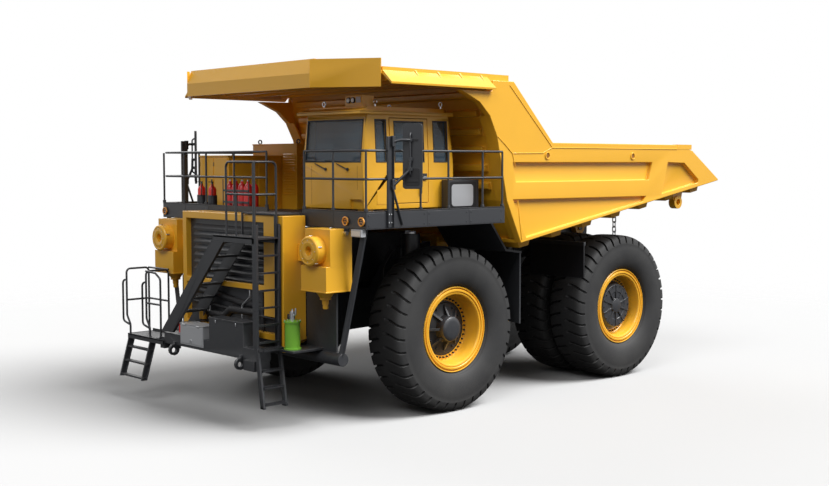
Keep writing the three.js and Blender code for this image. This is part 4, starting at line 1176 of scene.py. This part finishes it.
# %% Pipes below the radiator
def nose_pipes():
    shape = Shape(black)
    wide = [[(-1.40, -2.95, 2.20), (-0.60, -2.98, 2.16), (0.20, -2.96, 2.05), (1.35, -2.95, 2.05)],
            [(-1.30, -3.02, 1.78), (-0.30, -3.02, 1.78), (-0.10, -3.02, 1.92), (0.70, -3.02, 1.92)]]
    narrow = [[(-1.35, -3.04, 1.98), (1.30, -3.04, 1.86)], [(0.9, -3.03, 1.62), (0.9, -3.03, 2.30)]]
    lines = [[(-0.75, -3.06, 1.66), (-0.75, -3.06, 2.28)],
             [(0.30, -3.06, 1.66), (0.30, -3.06, 2.02), (0.55, -3.06, 2.20), (0.55, -3.06, 2.32)]]
    pipes(shape, wide, 0.075, 0.20, 16)
    pipes(shape, narrow, 0.030, 0.10, 12)
    pipes(shape.use(steel), lines, 0.016, 0.06)
    return shape.use(yellow).rod((-0.92, -3.10, 1.66), (-0.92, -3.10, 1.84), 0.075, 24, ease=0.01)


piece("nose_pipes", "chassis", nose_pipes(), (), 0)


# %% [markdown]
# The green pressure tank holds the grease for the pins. Its shell, flanges and domed lid are one turned
# profile, and the bolts of the lid are one bolt, copied round.


# %% Grease tank
def grease_tank():
    x, y, foot = 1.84, -3.09, 1.40 + HAIR
    shell = [(foot, 0.0), (foot, 0.150), (1.425, 0.150), (1.430, 0.132), (1.860, 0.132), (1.865, 0.152),
             (1.895, 0.152), (1.902, 0.120), (1.918, 0.0)]
    shape = Shape(green).turn(shell, (x, y, 0), "z", 40)
    bolts(shape.use(steel), 10, (x, y, 1.893), 0.140, 0.011, "z", 0.016)
    shape.rod((x, y, 1.90), (x, y, 2.06), 0.045, 20, ease=0.006)
    fittings = [[(x, y, 1.99), (1.93, y, 1.99), (1.93, y, 2.12)], [(1.79, -3.05, 1.90), (1.79, -3.05, 2.09)],
                [(1.90, -3.14, 1.90), (1.90, -3.14, 2.02)]]
    hose = [(1.76, y, 1.90), (1.70, y, 2.10), (1.665, -3.05, 1.95), (1.665, -3.05, 1.45)]
    pipes(shape, fittings, 0.015, 0.03)
    return pipes(shape.use(black), [hose], 0.014, 0.05)


piece("grease_vessel", "chassis", grease_tank(), ["grease_tank"], 0)

# %% [markdown]
# ## Air cleaners
# Each has a round dust lid with a rolled rim, a ring of latches and a recessed middle, on a folded
# yellow case. A cone and a rubber valve below let the dust out. The case is boxes, and what is round on
# the real one is turned, so that its rims catch the light as rings.


# %% Air cleaners
def air_cleaner():
    x, y, z = 2.38, -3.17, 3.13
    shape = Shape(yellow)
    shape.box(x - 0.34, x + 0.34, -3.05, -2.48, 2.43, 2.872)
    shape.box(x - 0.34, x + 0.34, -2.96, -2.48, 2.86, 3.50 - HAIR)
    shape.box(x - 0.348, x + 0.348, -3.058, -2.472, 2.43, 2.452)
    shape.box(1.60 + HAIR, x - 0.339, -2.78, -2.56, 2.90, 3.20)
    lid = [(0.215, 0.0), (0.215, 0.243), (0.050, 0.246), (0.046, 0.254), (0.030, 0.256), (0.018, 0.250),
           (0.006, 0.236), (0.000, 0.215), (0.006, 0.208), (0.006, 0.160), (0.000, 0.150), (0.004, 0.100),
           (0.010, 0.084), (0.030, 0.078), (0.110, 0.074), (0.115, 0.0)]
    shape.turn(lid, (x, y, z), "y", 56).use(steel)
    latch = Shape(steel).box(x - 0.012, x + 0.012, y + 0.03, y + 0.11, z + 0.250, z + 0.262)
    shape.add(repeated(latch, 5, (x, y, z), turn=(0, 2 * math.pi / 5, 0)))
    bolts(shape, 8, (x, y + 0.001, z), 0.185, 0.009, "y", -0.010)
    cone = [(2.432, 0.0), (2.432, 0.160), (2.398, 0.160), (2.390, 0.145), (2.310, 0.090), (2.306, 0.098),
            (2.284, 0.098), (2.280, 0.060), (2.200, 0.058), (2.200, 0.0)]
    valve = [(2.202, 0.0), (2.202, 0.045), (2.150, 0.050), (2.120, 0.040), (2.120, 0.0)]
    shape.use(yellow).turn(cone, (x, -2.79, 0), "z", 32)
    return shape.turn(valve, (x, -2.79, 0), "z", 24)


pair("air_cleaner_case", "chassis", air_cleaner, "air_cleaner_*", 0.006)

# %% [markdown]
# ## On the deck
# Two yellow cabinets hold the drive controls and the braking resistors. Their doors are leaves that lie
# on the case with hinges and a latch, and the resistors breathe through louvres. A door that is cut into
# the case would look the same when shut, at more cost.


# %% Cabinets
def door_panel(shape, x0, x1, y, z0, z1):
    """A hinged door on a front face at y: a raised leaf, two hinges and a latch."""
    shape.use(yellow).box(x0, x1, y - 0.014, y + 0.002, z0, z1)
    shape.use(dark)
    for z in (z0 + 0.12, z1 - 0.12):
        shape.rod((x0 - 0.006, y - 0.016, z - 0.04), (x0 - 0.006, y - 0.016, z + 0.04), 0.010, 10)
    shape.box(x1 - 0.06, x1 - 0.03, y - 0.030, y - 0.013, (z0 + z1) / 2 - 0.06, (z0 + z1) / 2 + 0.06)


def louvres(shape, along, face, outward, start, end):
    """Sixteen slats on an upright face. outward is the side that the face looks to."""
    z = 3.95
    outline = [(face - outward * 0.001, z), (face + outward * 0.020, z - 0.004),
               (face + outward * 0.022, z + 0.004), (face - outward * 0.001, z + 0.030)]
    slat = Shape(yellow).prism(outline, along, start, end)
    shape.use(yellow).add(repeated(slat, 16, step=(0, 0, 0.055)))


def control_cabinet():
    y = -1.75
    shape = Shape(yellow).box(-3.05, -2.00, y, -0.42, DECK_STAND, 4.735)
    shape.box(-3.06, -1.99, y - 0.02, -0.41, 4.735, 4.762)
    door_panel(shape, -3.02, -2.54, y, 3.72, 4.70)
    door_panel(shape, -2.51, -2.03, y, 3.72, 4.70)
    shape.use(yellow).box(-3.05, -2.00, y - 0.01, y + 0.01, DECK_STAND, 3.70)
    for middle in (-1.40, -0.75):
        shape.box(-2.002, -1.988, middle - 0.26, middle + 0.26, 3.74, 4.68)
    return shape


def grid_box():
    y = -0.40
    shape = Shape(yellow).box(-3.05, -1.50, y, 0.56, DECK_STAND, 4.985)
    shape.box(-3.06, -1.49, y - 0.01, 0.57, 4.985, 5.011)
    louvres(shape, "x", y, -1, -1.95, -1.55)
    louvres(shape, "y", -1.50, 1, -0.30, 0.46)
    shape.use(dark)
    for x in (-2.95, -1.60):
        shape.eye((x, y + 0.12, 5.055), 0.012, 0.030, 0.052, steps=20)
    return shape


piece("control_cabinet_doors", "chassis", control_cabinet(), ["control_cabinet"], 0.006)
piece("brake_grid_housing", "chassis", grid_box(), ["brake_grid_box"], 0.006)


# %% [markdown]
# The fire set stands at the deck's front edge: two hand bottles in dark holders, and eight charge
# bottles in a rack. Bottles are turned, and each row of the rack is one bottle, copied.


# %% Fire bottles
def fire_set():
    base = DECK_STAND
    holder = [(0.03, 0.0), (0.03, 0.095), (0.33, 0.095), (0.33, 0.082), (0.332, 0.0)]
    hand_bottle = [(0.325, 0.0), (0.325, 0.080), (0.44, 0.080), (0.48, 0.066), (0.51, 0.036),
                   (0.52, 0.028), (0.55, 0.028), (0.55, 0.0)]
    charge = [(0.04, 0.0), (0.04, 0.085), (0.50, 0.085), (0.55, 0.060), (0.58, 0.030), (0.62, 0.030),
              (0.62, 0.0)]
    shape = Shape(dark).box(-2.32, -0.32, -2.43, -2.13, base, base + 0.03)
    for x in (-2.18, -1.80):
        shape.use(dark).turn(holder, (x, -2.28, base), "z", 28)
        shape.use(red).turn(hand_bottle, (x, -2.28, base), "z", 28)
        shape.use(black).rod((x, -2.28, base + 0.545), (x, -2.28, base + 0.60), 0.020, 12)
        shape.box(x - 0.012, x + 0.012, -2.37, -2.26, base + 0.585, base + 0.60)
        hose = [(x, -2.30, base + 0.57), (x + 0.09, -2.34, base + 0.56), (x + 0.10, -2.36, base + 0.30)]
        pipes(shape, [hose], 0.010, 0.04, 8)
    for y in (-2.35, -2.21):
        bottle = Shape(deep_red).turn(charge, (-1.08, y, base), "z", 24)
        shape.use(deep_red).add(repeated(bottle, 4, step=(0.20, 0, 0)))
    shape.use(dark)
    for z in (base + 0.20, base + 0.42):
        shape.box(-1.20, -0.33, -2.445, -2.435, z, z + 0.04)
    for x in (-1.20, -0.765, -0.345):
        shape.box(x, x + 0.015, -2.445, -2.43, base, base + 0.66)
    cap = Shape(pale).rod((-1.08, -2.35, base + 0.615), (-1.08, -2.35, base + 0.65), 0.022, 12)
    return shape.use(pale).add(repeated(cap, 4, step=(0.20, 0, 0)))


piece("fire_bottles", "chassis", fire_set(), ["fire_equipment"], 0.002)


# %% [markdown]
# A low dark box with a pale door on its outer side sits behind the cab. The door, the mirrors and their
# glass share one outline with an arc at each corner, because their corners are rounder than a bevel
# along thin edges can be.


# %% Box behind the cab
CORNER_STEPS = 6


def rounded_outline(u0, u1, v0, v1, radius):
    points = []
    for cu, cv, start in ((u1 - radius, v1 - radius, 0), (u0 + radius, v1 - radius, 90),
                          (u0 + radius, v0 + radius, 180), (u1 - radius, v0 + radius, 270)):
        for i in range(CORNER_STEPS + 1):
            angle = math.radians(start + 90 * i / CORNER_STEPS)
            points.append((cu + radius * math.cos(angle), cv + radius * math.sin(angle)))
    return points


def battery_box():
    base = DECK_STAND
    shape = Shape(dark).box(2.50, 2.66, -0.13, 0.69, base, 4.30).box(1.90, 2.501, 0.26, 0.69, base, 4.30)
    shape.use(black).prism(rounded_outline(-0.09, 0.62, base + 0.10, 4.27, 0.06), "x", 2.655, 2.668)
    shape.use(pale).prism(rounded_outline(-0.04, 0.53, base + 0.17, 4.215, 0.07), "x", 2.66, 2.676)
    shape.use(steel)
    for z in (3.78, 3.95, 4.12):
        shape.rod((2.672, -0.115, z - 0.03), (2.672, -0.115, z + 0.03), 0.012, 10)
    return shape


piece("battery_case", "chassis", battery_box(), ["battery_box"], 0.006)


# %% [markdown]
# Round amber lamps look forward from the skirt, and an air horn and a work lamp hang under it. A lamp is
# three turned parts, a dark body, an amber ring and a black middle, and three small amber dots.


# %% Deck lamps and horn
def deck_lamps():
    shape = Shape(dark)
    body = [(0.0, 0.0), (0.0, 0.078), (-0.03, 0.078), (-0.03, 0.0)]
    ring = [(-0.028, 0.052), (-0.044, 0.056), (-0.046, 0.068), (-0.040, 0.080), (-0.024, 0.080)]
    middle = [(-0.026, 0.0), (-0.026, 0.054), (-0.034, 0.050), (-0.036, 0.0)]
    for x in (2.68, 3.095, -3.07):
        centre = (x, DECK_FRONT, 3.63)
        shape.use(dark).turn(body, centre, "y", 32)
        shape.use(amber).turn(ring, centre, "y", 32, loop=True)
        shape.use(black).turn(middle, centre, "y", 32)
        dots = Shape(amber).rod((x, -2.602, 3.655), (x, -2.598, 3.655), 0.012, 10)
        shape.use(amber).add(repeated(dots, 3, centre, turn=(0, 2 * math.pi / 3, 0)))
    return shape


def horn():
    shape = Shape(steel)
    bell = [(0.05, 0.0), (0.02, 0.050), (0.002, 0.078), (0.0, 0.084), (0.008, 0.086), (0.04, 0.058),
            (0.10, 0.038), (0.22, 0.024), (0.34, 0.018), (0.36, 0.034), (0.42, 0.034), (0.42, 0.0)]
    shape.turn(bell, (2.36, -2.64, 3.43), "x", 28)
    shape.use(dark).box(2.70, 2.74, -2.66, -2.55, 3.44, 3.505)
    shape.use(pale).box(2.86, 3.12, -2.62, -2.52, 3.375, 3.50 - HAIR)
    return shape.use(clear_lens).box(2.875, 3.105, -2.626, -2.619, 3.39, 3.47)


piece("deck_lamps", "chassis", deck_lamps(), (), 0)
piece("horn_and_work_lamp", "chassis", horn(), (), 0)

# %% [markdown]
# ## Mirrors
# A tall mirror hangs outside each handrail on two arms, turned so that the operator sees along the
# truck's flank. The housing is a shallow tray with rounded corners and the glass set in its rear. It is
# built flat at the origin and turned as a whole, since its own sizes are simple only there.

# %% Mirrors
MIRROR = Vector((3.35, -1.655, 4.725))
MIRROR_TURN = math.radians(34)


def mirror():
    tray = Shape(dark)
    tray.prism(rounded_outline(-0.17, 0.17, -0.555, 0.555, 0.05), "y", -0.025, 0.020)
    tray.use(black).prism(rounded_outline(-0.13, 0.13, -0.50, -0.20, 0.03), "y", -0.031, -0.024)
    tray.box(-0.10, 0.10, -0.036, -0.024, 0.26, 0.30).box(-0.10, 0.10, -0.036, -0.024, -0.44, -0.40)
    tray.use(dark)
    back_tube = [(-0.03, -0.026, 0.40), (-0.03, -0.075, 0.36), (-0.03, -0.075, -0.30), (-0.03, -0.026, -0.34)]
    pipes(tray, [back_tube], 0.017, 0.04)
    for z in (0.275, -0.05, -0.22):
        tray.box(-0.065, 0.005, -0.095, -0.024, z - 0.028, z + 0.028)
    tray.use(mirror_glass).prism(rounded_outline(-0.155, 0.155, -0.54, 0.54, 0.045), "y", 0.019, 0.025)
    tray.moved(Matrix.Translation(MIRROR) @ Matrix.Rotation(MIRROR_TURN, 4, "Z"))
    shape = tray.use(dark)
    x, y = DECK_HALF + HAIR, -2.03
    shape.box(x, x + SHEET, y - 0.07, y + 0.07, 3.52, 5.06)
    for edge in (y - 0.07, y + 0.07 - SHEET):
        shape.box(x, x + 0.045, edge, edge + SHEET, 3.52, 5.06)
    pipes(shape, [[(x + 0.02, y + 0.03, 4.23), (x + 0.02, y + 0.28, 3.56)]], 0.022, 0)
    back = MIRROR + Vector((0.02, -0.075, 0))
    arms = [[(x + 0.02, y + 0.03, 4.20), (x + 0.07, y + 0.12, 4.30), (back.x - 0.02, back.y - 0.02, 4.48),
             (back.x, back.y, 4.66)],
            [(x + 0.02, y + 0.03, 4.96), (x + 0.08, y + 0.16, 5.00), (back.x, back.y, 5.00)]]
    pipes(shape, arms, 0.026)
    for z in (4.25, 4.98):
        shape.box(x, x + 0.055, y + 0.02, y + 0.09, z - 0.09, z + 0.09)
    shape.use(steel)
    for z in (3.60, 3.74):
        for side in (-0.03, 0.03):
            shape.rod((x + SHEET, y + side, z), (x + SHEET + 0.01, y + side, z), 0.014, 6)
    return shape


pair("mirror_arm", "chassis", mirror, "mirror_*", 0.003)

# %% [markdown]
# ## Cab
# The cab is a folded steel shell on four feet. Its corner posts are broad and rounded, so those edges
# get a wide bevel and the rest a narrow one, chosen by a weight on each edge. A limit by angle cannot
# tell a post from a window's edge.

# %% Cab shell
CAB_X = (0.73, 2.48)
CAB_Y = (-2.00, 0.22)
CAB_FLOOR = 3.88 + HAIR
CAB_SILL = 4.60
CAB_HEAD = 5.50
POST_LENGTH = 0.4


def cab_shell():
    mesh = merged_copy("cab_body")
    weight = mesh.edges.layers.float.new("bevel_weight_edge")
    for edge in mesh.edges:
        a, b = (v.co - Vector((0, AXLE_Y, 0)) for v in edge.verts)
        upright = abs(a.z - b.z) > POST_LENGTH
        outside = (min(abs(a.x - x) for x in CAB_X) < 0.055
                   and min(abs(a.y - y) for y in CAB_Y) < 0.095)
        if upright and outside and min(a.z, b.z) > 3.79:
            edge[weight] = 1.0
        elif edge.calc_face_angle(0) > math.radians(30):
            edge[weight] = 0.12
    made = built_object("cab_shell", mesh, [yellow])
    smooth(made.data)
    bevel = made.modifiers.new("posts", "BEVEL")
    bevel.width = 0.055
    bevel.segments = 4
    bevel.limit_method = "WEIGHT"
    bevel.use_clamp_overlap = False
    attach(made, "chassis")
    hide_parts("cab_body")
    return made


shell = cab_shell()
print(shell.name, len(shell.data.polygons), "faces")


# %% [markdown]
# Black rubber holds each pane. The walls stand upright to the sill and lean in above it, so a seal is a
# square ring whose points are moved by the same lean as the wall. The two fixed side panes lean too.


# %% Window seals and fixed side panes
def leaning(low, high, z):
    """Place of a cab wall at height z, going from low at the sill to high at the head."""
    return low + (high - low) * max(0.0, z - CAB_SILL) / (CAB_HEAD - CAB_SILL)


def seal(shape, along, wall, outward, span, heights=(4.62, 5.38), thick=0.020):
    """A frame of square rubber, a little proud of the wall. outward is the side the wall looks to."""
    place = AXES[along]
    (u0, u1), (z0, z1) = span, heights
    outer = [(u0, z0), (u1, z0), (u1, z1), (u0, z1)]
    inner = [(u0 + thick, z0 + thick), (u1 - thick, z0 + thick), (u1 - thick, z1 - thick),
             (u0 + thick, z1 - thick)]
    rings = [[place(leaning(*wall, z) + outward * depth, u, z) for u, z in line]
             for depth, line in ((-0.02, outer), (0.006, outer), (0.006, inner), (-0.02, inner))]
    return shape.loft(rings, loop=True)


LEFT_WALL = (2.48, 2.43)


def cab_seals():
    shape = Shape(plastic)
    seal(shape, "y", (-2.00, -1.91), -1, (0.82, 2.39), thick=0.022)
    seal(shape, "y", (0.22, 0.13), 1, (0.82, 2.39), thick=0.022)
    seal(shape, "x", LEFT_WALL, 1, (-0.31, 0.06))
    seal(shape, "x", LEFT_WALL, 1, (-1.72, -1.45))
    return seal(shape, "x", (0.73, 0.78), -1, (-1.74, -0.04))


piece("window_seals", "chassis", cab_seals(), (), 0.002)


def side_panes():
    shape = Shape(glass)
    z0, z1 = 4.635, 5.365
    low, high = (x - 0.03 for x in LEFT_WALL)
    lean = high - low
    for y0, y1 in ((-0.295, 0.045), (-1.705, -1.465)):
        shape.loft([[(x, y0, z0), (x, y1, z0), (x + lean, y1, z1), (x + lean, y0, z1)]
                    for x in (low - 0.006, low)])
    return shape


piece("side_panes", "chassis", side_panes(), (), 0)
for name in ("windscreen", "cab_rear_glass", "cab_right_glass", "door_glass"):
    nodes[name].data.materials.clear()
    nodes[name].data.materials.append(glass)
print("glazed")


# %% [markdown]
# The roof is a thin plate with folded lips, a visor that slopes up from the front, a raised middle and a
# box for the lamps. Lifting eyes stand at its corners, and two wipers rest on the windscreen.


# %% Roof lamps, eyes, visor and wipers
def cab_roof():
    x0, x1, y0, y1 = 0.72, 2.49, -2.10, 0.18
    lip = (5.465, 5.520)
    visor = [(-2.08, 5.503), (-2.08, 5.535), (-1.90, 5.582), (-1.90, 5.503)]
    shape = Shape(yellow).box(x0, x1, y0, y1, CAB_HEAD + HAIR, 5.530)
    shape.box(x0, x1, y0, y0 + SHEET, *lip).box(x1 - SHEET, x1, y0, y1, *lip)
    shape.box(x0, x0 + SHEET, y0, y1, *lip).prism(visor, "x", 0.75, 2.46)
    shape.box(0.86, 2.35, -1.905, 0.07, 5.53, 5.6095)
    return shape.box(1.82, 2.28, -1.870, -1.59, 5.60, 5.7995)


def roof_kit():
    shape = Shape(dark)
    case = [(0.01, 0.0), (0.01, 0.052), (-0.022, 0.052), (-0.022, 0.0)]
    lens = [(-0.020, 0.0), (-0.020, 0.042), (-0.028, 0.038), (-0.032, 0.0)]
    for x in (1.93, 2.05):
        shape.use(black).turn(case, (x, -1.872, 5.715), "y", 28)
        shape.use(clear_lens).turn(lens, (x, -1.872, 5.715), "y", 28)
    shape.use(pale).box(2.13, 2.25, -1.885, -1.868, 5.67, 5.77)
    shape.use(steel)
    for x, y in ((2.32, -1.60), (2.32, 0.02), (0.90, -1.60), (0.90, 0.02)):
        shape.rod((x, y, 5.608), (x, y, 5.650), 0.016, 12)
        shape.eye((x, y, 5.690), 0.012, 0.030, 0.050, "y", 20)
    shape.use(plastic)
    for x in (1.44, 2.05):
        shape.rod((x, -2.004, 4.50), (x, -2.030, 4.50), 0.026, 16)
        pipes(shape, [[(x, -2.026, 4.50), (x - 0.30, -2.022, 4.60)]], 0.010, 0, 8)
        pipes(shape, [[(x - 0.62, -2.018, 4.652), (x, -2.014, 4.632)]], 0.009, 0, 8)
    return shape


piece("cab_roof_plates", "chassis", cab_roof(), ["cab_roof"], 0.008)
piece("roof_kit", "chassis", roof_kit(), (), 0.002)


# %% [markdown]
# Panel seams on the cab's front are thin dark-yellow strips of painted shade, a few millimetres proud,
# because the shade in a real gap that narrow reads as a line. The door's seal, lock and handle ride on the
# door, so that they swing out with it.


# %% Cab side details and door furniture
def cab_side():
    shape = Shape(yellow)
    shape.box(2.478, 2.486, -1.70, -1.40, 3.885, 4.14)
    # painted shade: the dark-yellow strips stand for the shade in the panel gaps
    shape.use(painted_shade_yellow)
    for x, low in ((1.02, 3.86), (1.62, 3.86), (2.30, 4.14)):
        shape.box(x - 0.003, x + 0.003, -2.0025, -1.99, low, 4.56)
    grab = [(2.47, -1.40, 4.05), (2.53, -1.40, 4.05), (2.53, -1.40, 4.95), (2.45, -1.40, 4.95)]
    return pipes(shape.use(dark), [grab], 0.013, 0.04)


def door_kit():
    shape = seal(Shape(plastic), "x", LEFT_WALL, 1, (-1.277, -0.546), (4.62, 5.36), 0.022)
    shape.box(2.478, 2.498, -0.62, -0.50, 4.30, 4.42)
    shape.use(steel).box(2.495, 2.510, -0.60, -0.52, 4.345, 4.37)
    pull = [(2.478, -0.66, 4.05), (2.525, -0.66, 4.05), (2.525, -0.66, 4.50), (2.478, -0.66, 4.50)]
    return pipes(shape.use(dark), [pull], 0.012, 0.03)


piece("cab_side_details", "chassis", cab_side(), (), 0)
piece("door_furniture", "cab_door", door_kit(), (), 0)

# %% [markdown]
# ## Inside the cab
# The tinted glass shows a high-backed seat, a wheel on a raked column, and the dark instrument hood
# under the windscreen. A pad is a loft of rounded squares, narrower at its top and bottom, and
# subdivision crowns it. Stuffed cloth could be simulated, but not to any use behind dark glass.

# %% Seat
SEAT_X = 1.59


def seat_foot():
    shape = Shape(plastic).box(SEAT_X - 0.17, SEAT_X + 0.17, -0.90, -0.56, CAB_FLOOR, CAB_FLOOR + 0.05)
    return shape.box(SEAT_X - 0.09, SEAT_X + 0.09, -0.82, -0.64, CAB_FLOOR + 0.04, 4.24)


def rounded_power(value):
    """Squares up a circle: its sine or cosine, drawn towards 1."""
    return math.copysign(abs(value) ** 0.5, value)


def cushion(name, size, place, tilt):
    w, d, h = size
    rows = []
    for t, pinch in ((-1.0, 0.88), (-0.55, 1.0), (0.55, 1.0), (1.0, 0.88)):
        rows.append([(w / 2 * pinch * rounded_power(math.cos(a)), d / 2 * pinch * rounded_power(math.sin(a)),
                      h / 2 * t) for a in angles(20)])
    shape = Shape(seat_cloth).loft(rows)
    shape.moved(Matrix.Translation(place) @ Matrix.Rotation(math.radians(tilt), 4, "X"))
    made = piece(name, "chassis", shape, (), 0.012)
    rounded = made.modifiers.new("crown", "SUBSURF")
    rounded.levels = rounded.render_levels = 2


piece("seat_base", "chassis", seat_foot(), ["operator_seat"], 0.01)
cushion("seat_cushion", (0.50, 0.52, 0.12), (SEAT_X, -0.74, 4.30), 3)
cushion("seat_back", (0.46, 0.62, 0.11), (SEAT_X, -0.42, 4.66), 82)
cushion("seat_head_rest", (0.28, 0.20, 0.09), (SEAT_X, -0.34, 5.06), 84)

# %% [markdown]
# The steering wheel is a turned rim with a hub and three spokes. Like the mirror, it is made flat at the
# origin and tilted as a whole on its column.


# %% Wheel, column and instrument hood
def steering_wheel():
    rim_radius, rim_thick = 0.205, 0.017
    hub = [(-0.02, 0.0), (-0.02, 0.06), (0.012, 0.055), (0.018, 0.0)]
    rim = [(rim_thick * math.sin(a), rim_radius + rim_thick * math.cos(a)) for a in angles(10)]
    wheel = Shape(plastic).turn(rim, (0, 0, 0), "z", 40, loop=True).turn(hub, (0, 0, 0), "z", 24)
    for degrees in (90, 210, 330):
        way = Vector((math.cos(math.radians(degrees)), math.sin(math.radians(degrees)), 0))
        wheel.rod(way * 0.03, way * 0.20, 0.014, 8)
    return wheel.moved(Matrix.Translation((SEAT_X, -1.325, 4.575))
                       @ Matrix.Rotation(math.radians(-20), 4, "X"))


def steering():
    hood = [(-1.88, 4.30), (-1.56, 4.30), (-1.52, 4.52), (-1.70, 4.585), (-1.86, 4.56)]
    shape = Shape(plastic).rod((SEAT_X, -1.56, CAB_FLOOR + 0.03), (SEAT_X, -1.34, 4.55), 0.045, 24)
    shape.box(SEAT_X - 0.09, SEAT_X + 0.09, -1.64, -1.48, CAB_FLOOR, CAB_FLOOR + 0.09)
    shape.add(steering_wheel().object_mesh()).prism(hood, "x", 0.86, 2.34)
    shape.box(1.02, 1.30, -1.30, -0.50, CAB_FLOOR, 4.42)
    return shape.use(clear_lens).box(1.36, 1.82, -1.545, -1.535, 4.38, 4.50)


piece("steering_wheel", "chassis", steering(), ["steering_column"], 0.003)

# %% [markdown]
# ## Underside details
# Rubber flaps hang ahead of the rear wheels, hoses run to the struts, straps hold the fuel tank, and the
# frame's tail carries two lamps. The flaps are as stiff as thick rubber is, so a plate is enough, and the
# hoses are fixed at both ends and need no simulated sag.


# %% Flaps, straps, hoses and tail lamps
def wheel_flap():
    return Shape(black).box(1.296, 2.764, 3.721, 3.754, 2.236, 2.905)


def tank_straps():
    """Two straps and a filler on the fuel tank, which hangs on the right."""
    shape = Shape(dark)
    for y in (2.42, 3.12):
        shape.prism([(y, 1.045), (y + 0.06, 1.045), (y + 0.06, 2.405), (y, 2.405)], "x", 2.296, 2.306)
        shape.box(1.29, 2.306, y, y + 0.06, 2.396, 2.406)
        shape.box(1.29, 2.306, y, y + 0.06, 1.044, 1.054)
    return shape.use(black).rod((2.10, 2.28, 2.39), (2.10, 2.28, 2.46), 0.07, 28, ease=0.008)


def strut_hoses():
    runs = [[(1.36, -0.30, 2.95), (1.20, -0.42, 2.60), (1.28, -0.46, 2.05), (1.36, -0.36, 1.90)],
            [(1.34, 0.28, 2.90), (1.10, 0.42, 2.45), (0.80, 0.62, 2.20)]]
    shape = pipes(Shape(black), runs, 0.022, 0.15)
    shape.use(steel).rod((1.52, 0, 3.255), (1.52, 0, 3.30), 0.11, 28, ease=0.01)
    return bolts(shape, 10, (1.52, 0, 3.298), 0.085, 0.012, "z", 0.012)


def tail_lamps():
    lens = [(0.0, 0.0), (0.0, 0.055), (0.020, 0.050), (0.026, 0.0)]
    shape = Shape(black).box(0.54, 0.70, 6.380, 6.412, 3.00, 3.16)
    return shape.use(red_lens).turn(lens, (0.62, 6.411, 3.08), "y", 28)


pair("wheel_flap", "chassis", wheel_flap)
piece("tank_straps", "chassis", tank_straps(), (), mirror=True)
pair("strut_hoses", "chassis", strut_hoses, bevel=0)
pair("tail_lamps", "chassis", tail_lamps, bevel=0)

# %% [markdown]
# ## Floor, backdrop and light
# The floor is a pale disc that keeps the truck's shadow. A plain plane would end in a visible edge, so
# the disc fades to nothing with the distance from its middle.

# %% Floor
FLOOR_RADIUS = 60.0
FLOOR_SIDES = 64
floor_data = bpy.data.meshes.new("floor")
floor_data.from_pydata([(FLOOR_RADIUS * math.cos(a), FLOOR_RADIUS * math.sin(a), 0)
                        for a in angles(FLOOR_SIDES)], [], [range(FLOOR_SIDES)])
floor = link_object("floor", floor_data)
floor_finish, graph = empty_material("pale_floor")
distance = graph.add("ShaderNodeVectorMath", {"operation": "LENGTH"}, {0: graph.place()}, "Value")
seen = graph.add("ShaderNodeLightPath", None, None, "Is Camera Ray")
tone = graph.mix(seen, (0.06, 0.06, 0.06), (0.48, 0.48, 0.48))
matt = graph.add("ShaderNodeBsdfDiffuse", None, {"Color": tone})
clear = graph.add("ShaderNodeBsdfTransparent")
fade = graph.add("ShaderNodeMixShader", None, {0: distance.between(9.0, 26.0) * seen, 1: matt, 2: clear})
graph.add("ShaderNodeOutputMaterial", None, {"Surface": fade})
floor_data.materials.append(floor_finish)
print("floor radius", FLOOR_RADIUS)

# %% [markdown]
# The world is white where the camera, a reflection or a window looks at it, and softer as a light, so the
# backdrop stays white without washing out the truck. Three wide suns make the soft studio light: a key
# on the truck's left, a weak fill on its nose, and a weaker one on its right. Area lamps would fall off
# along twelve metres of truck, and suns do not.

# %% World and lamps
world = bpy.data.worlds.new("studio")
bpy.context.scene.world = world
world.use_nodes = True
world.node_tree.nodes.clear()
graph = Graph(world.node_tree)
rays = [graph.add("ShaderNodeLightPath", None, None, kind)
        for kind in ("Is Camera Ray", "Is Glossy Ray", "Is Transmission Ray")]
white = (rays[0] + rays[1] * 0.8 + rays[2]).clamped()
strength = white * 0.83 + 0.17
graph.add("ShaderNodeOutputWorld", None,
          {"Surface": graph.add("ShaderNodeBackground", None, {"Color": (1, 1, 1, 1), "Strength": strength})})


def sun(name, azimuth, height, strength, angle):
    """azimuth is the compass side the light comes from, in degrees from +X towards +Y."""
    data = bpy.data.lights.new(name, "SUN")
    data.energy = strength
    data.angle = math.radians(angle)
    lamp = link_object(name, data)
    a, e = math.radians(azimuth), math.radians(height)
    source = Vector((math.cos(a) * math.cos(e), math.sin(a) * math.cos(e), math.sin(e)))
    lamp.rotation_mode = "QUATERNION"
    lamp.rotation_quaternion = source.to_track_quat("Z", "Y")


sun("key", 36, 53, 5.7, 40)
sun("fill", -66, 44, 1.15, 30)
sun("back", 165, 32, 0.9, 40)
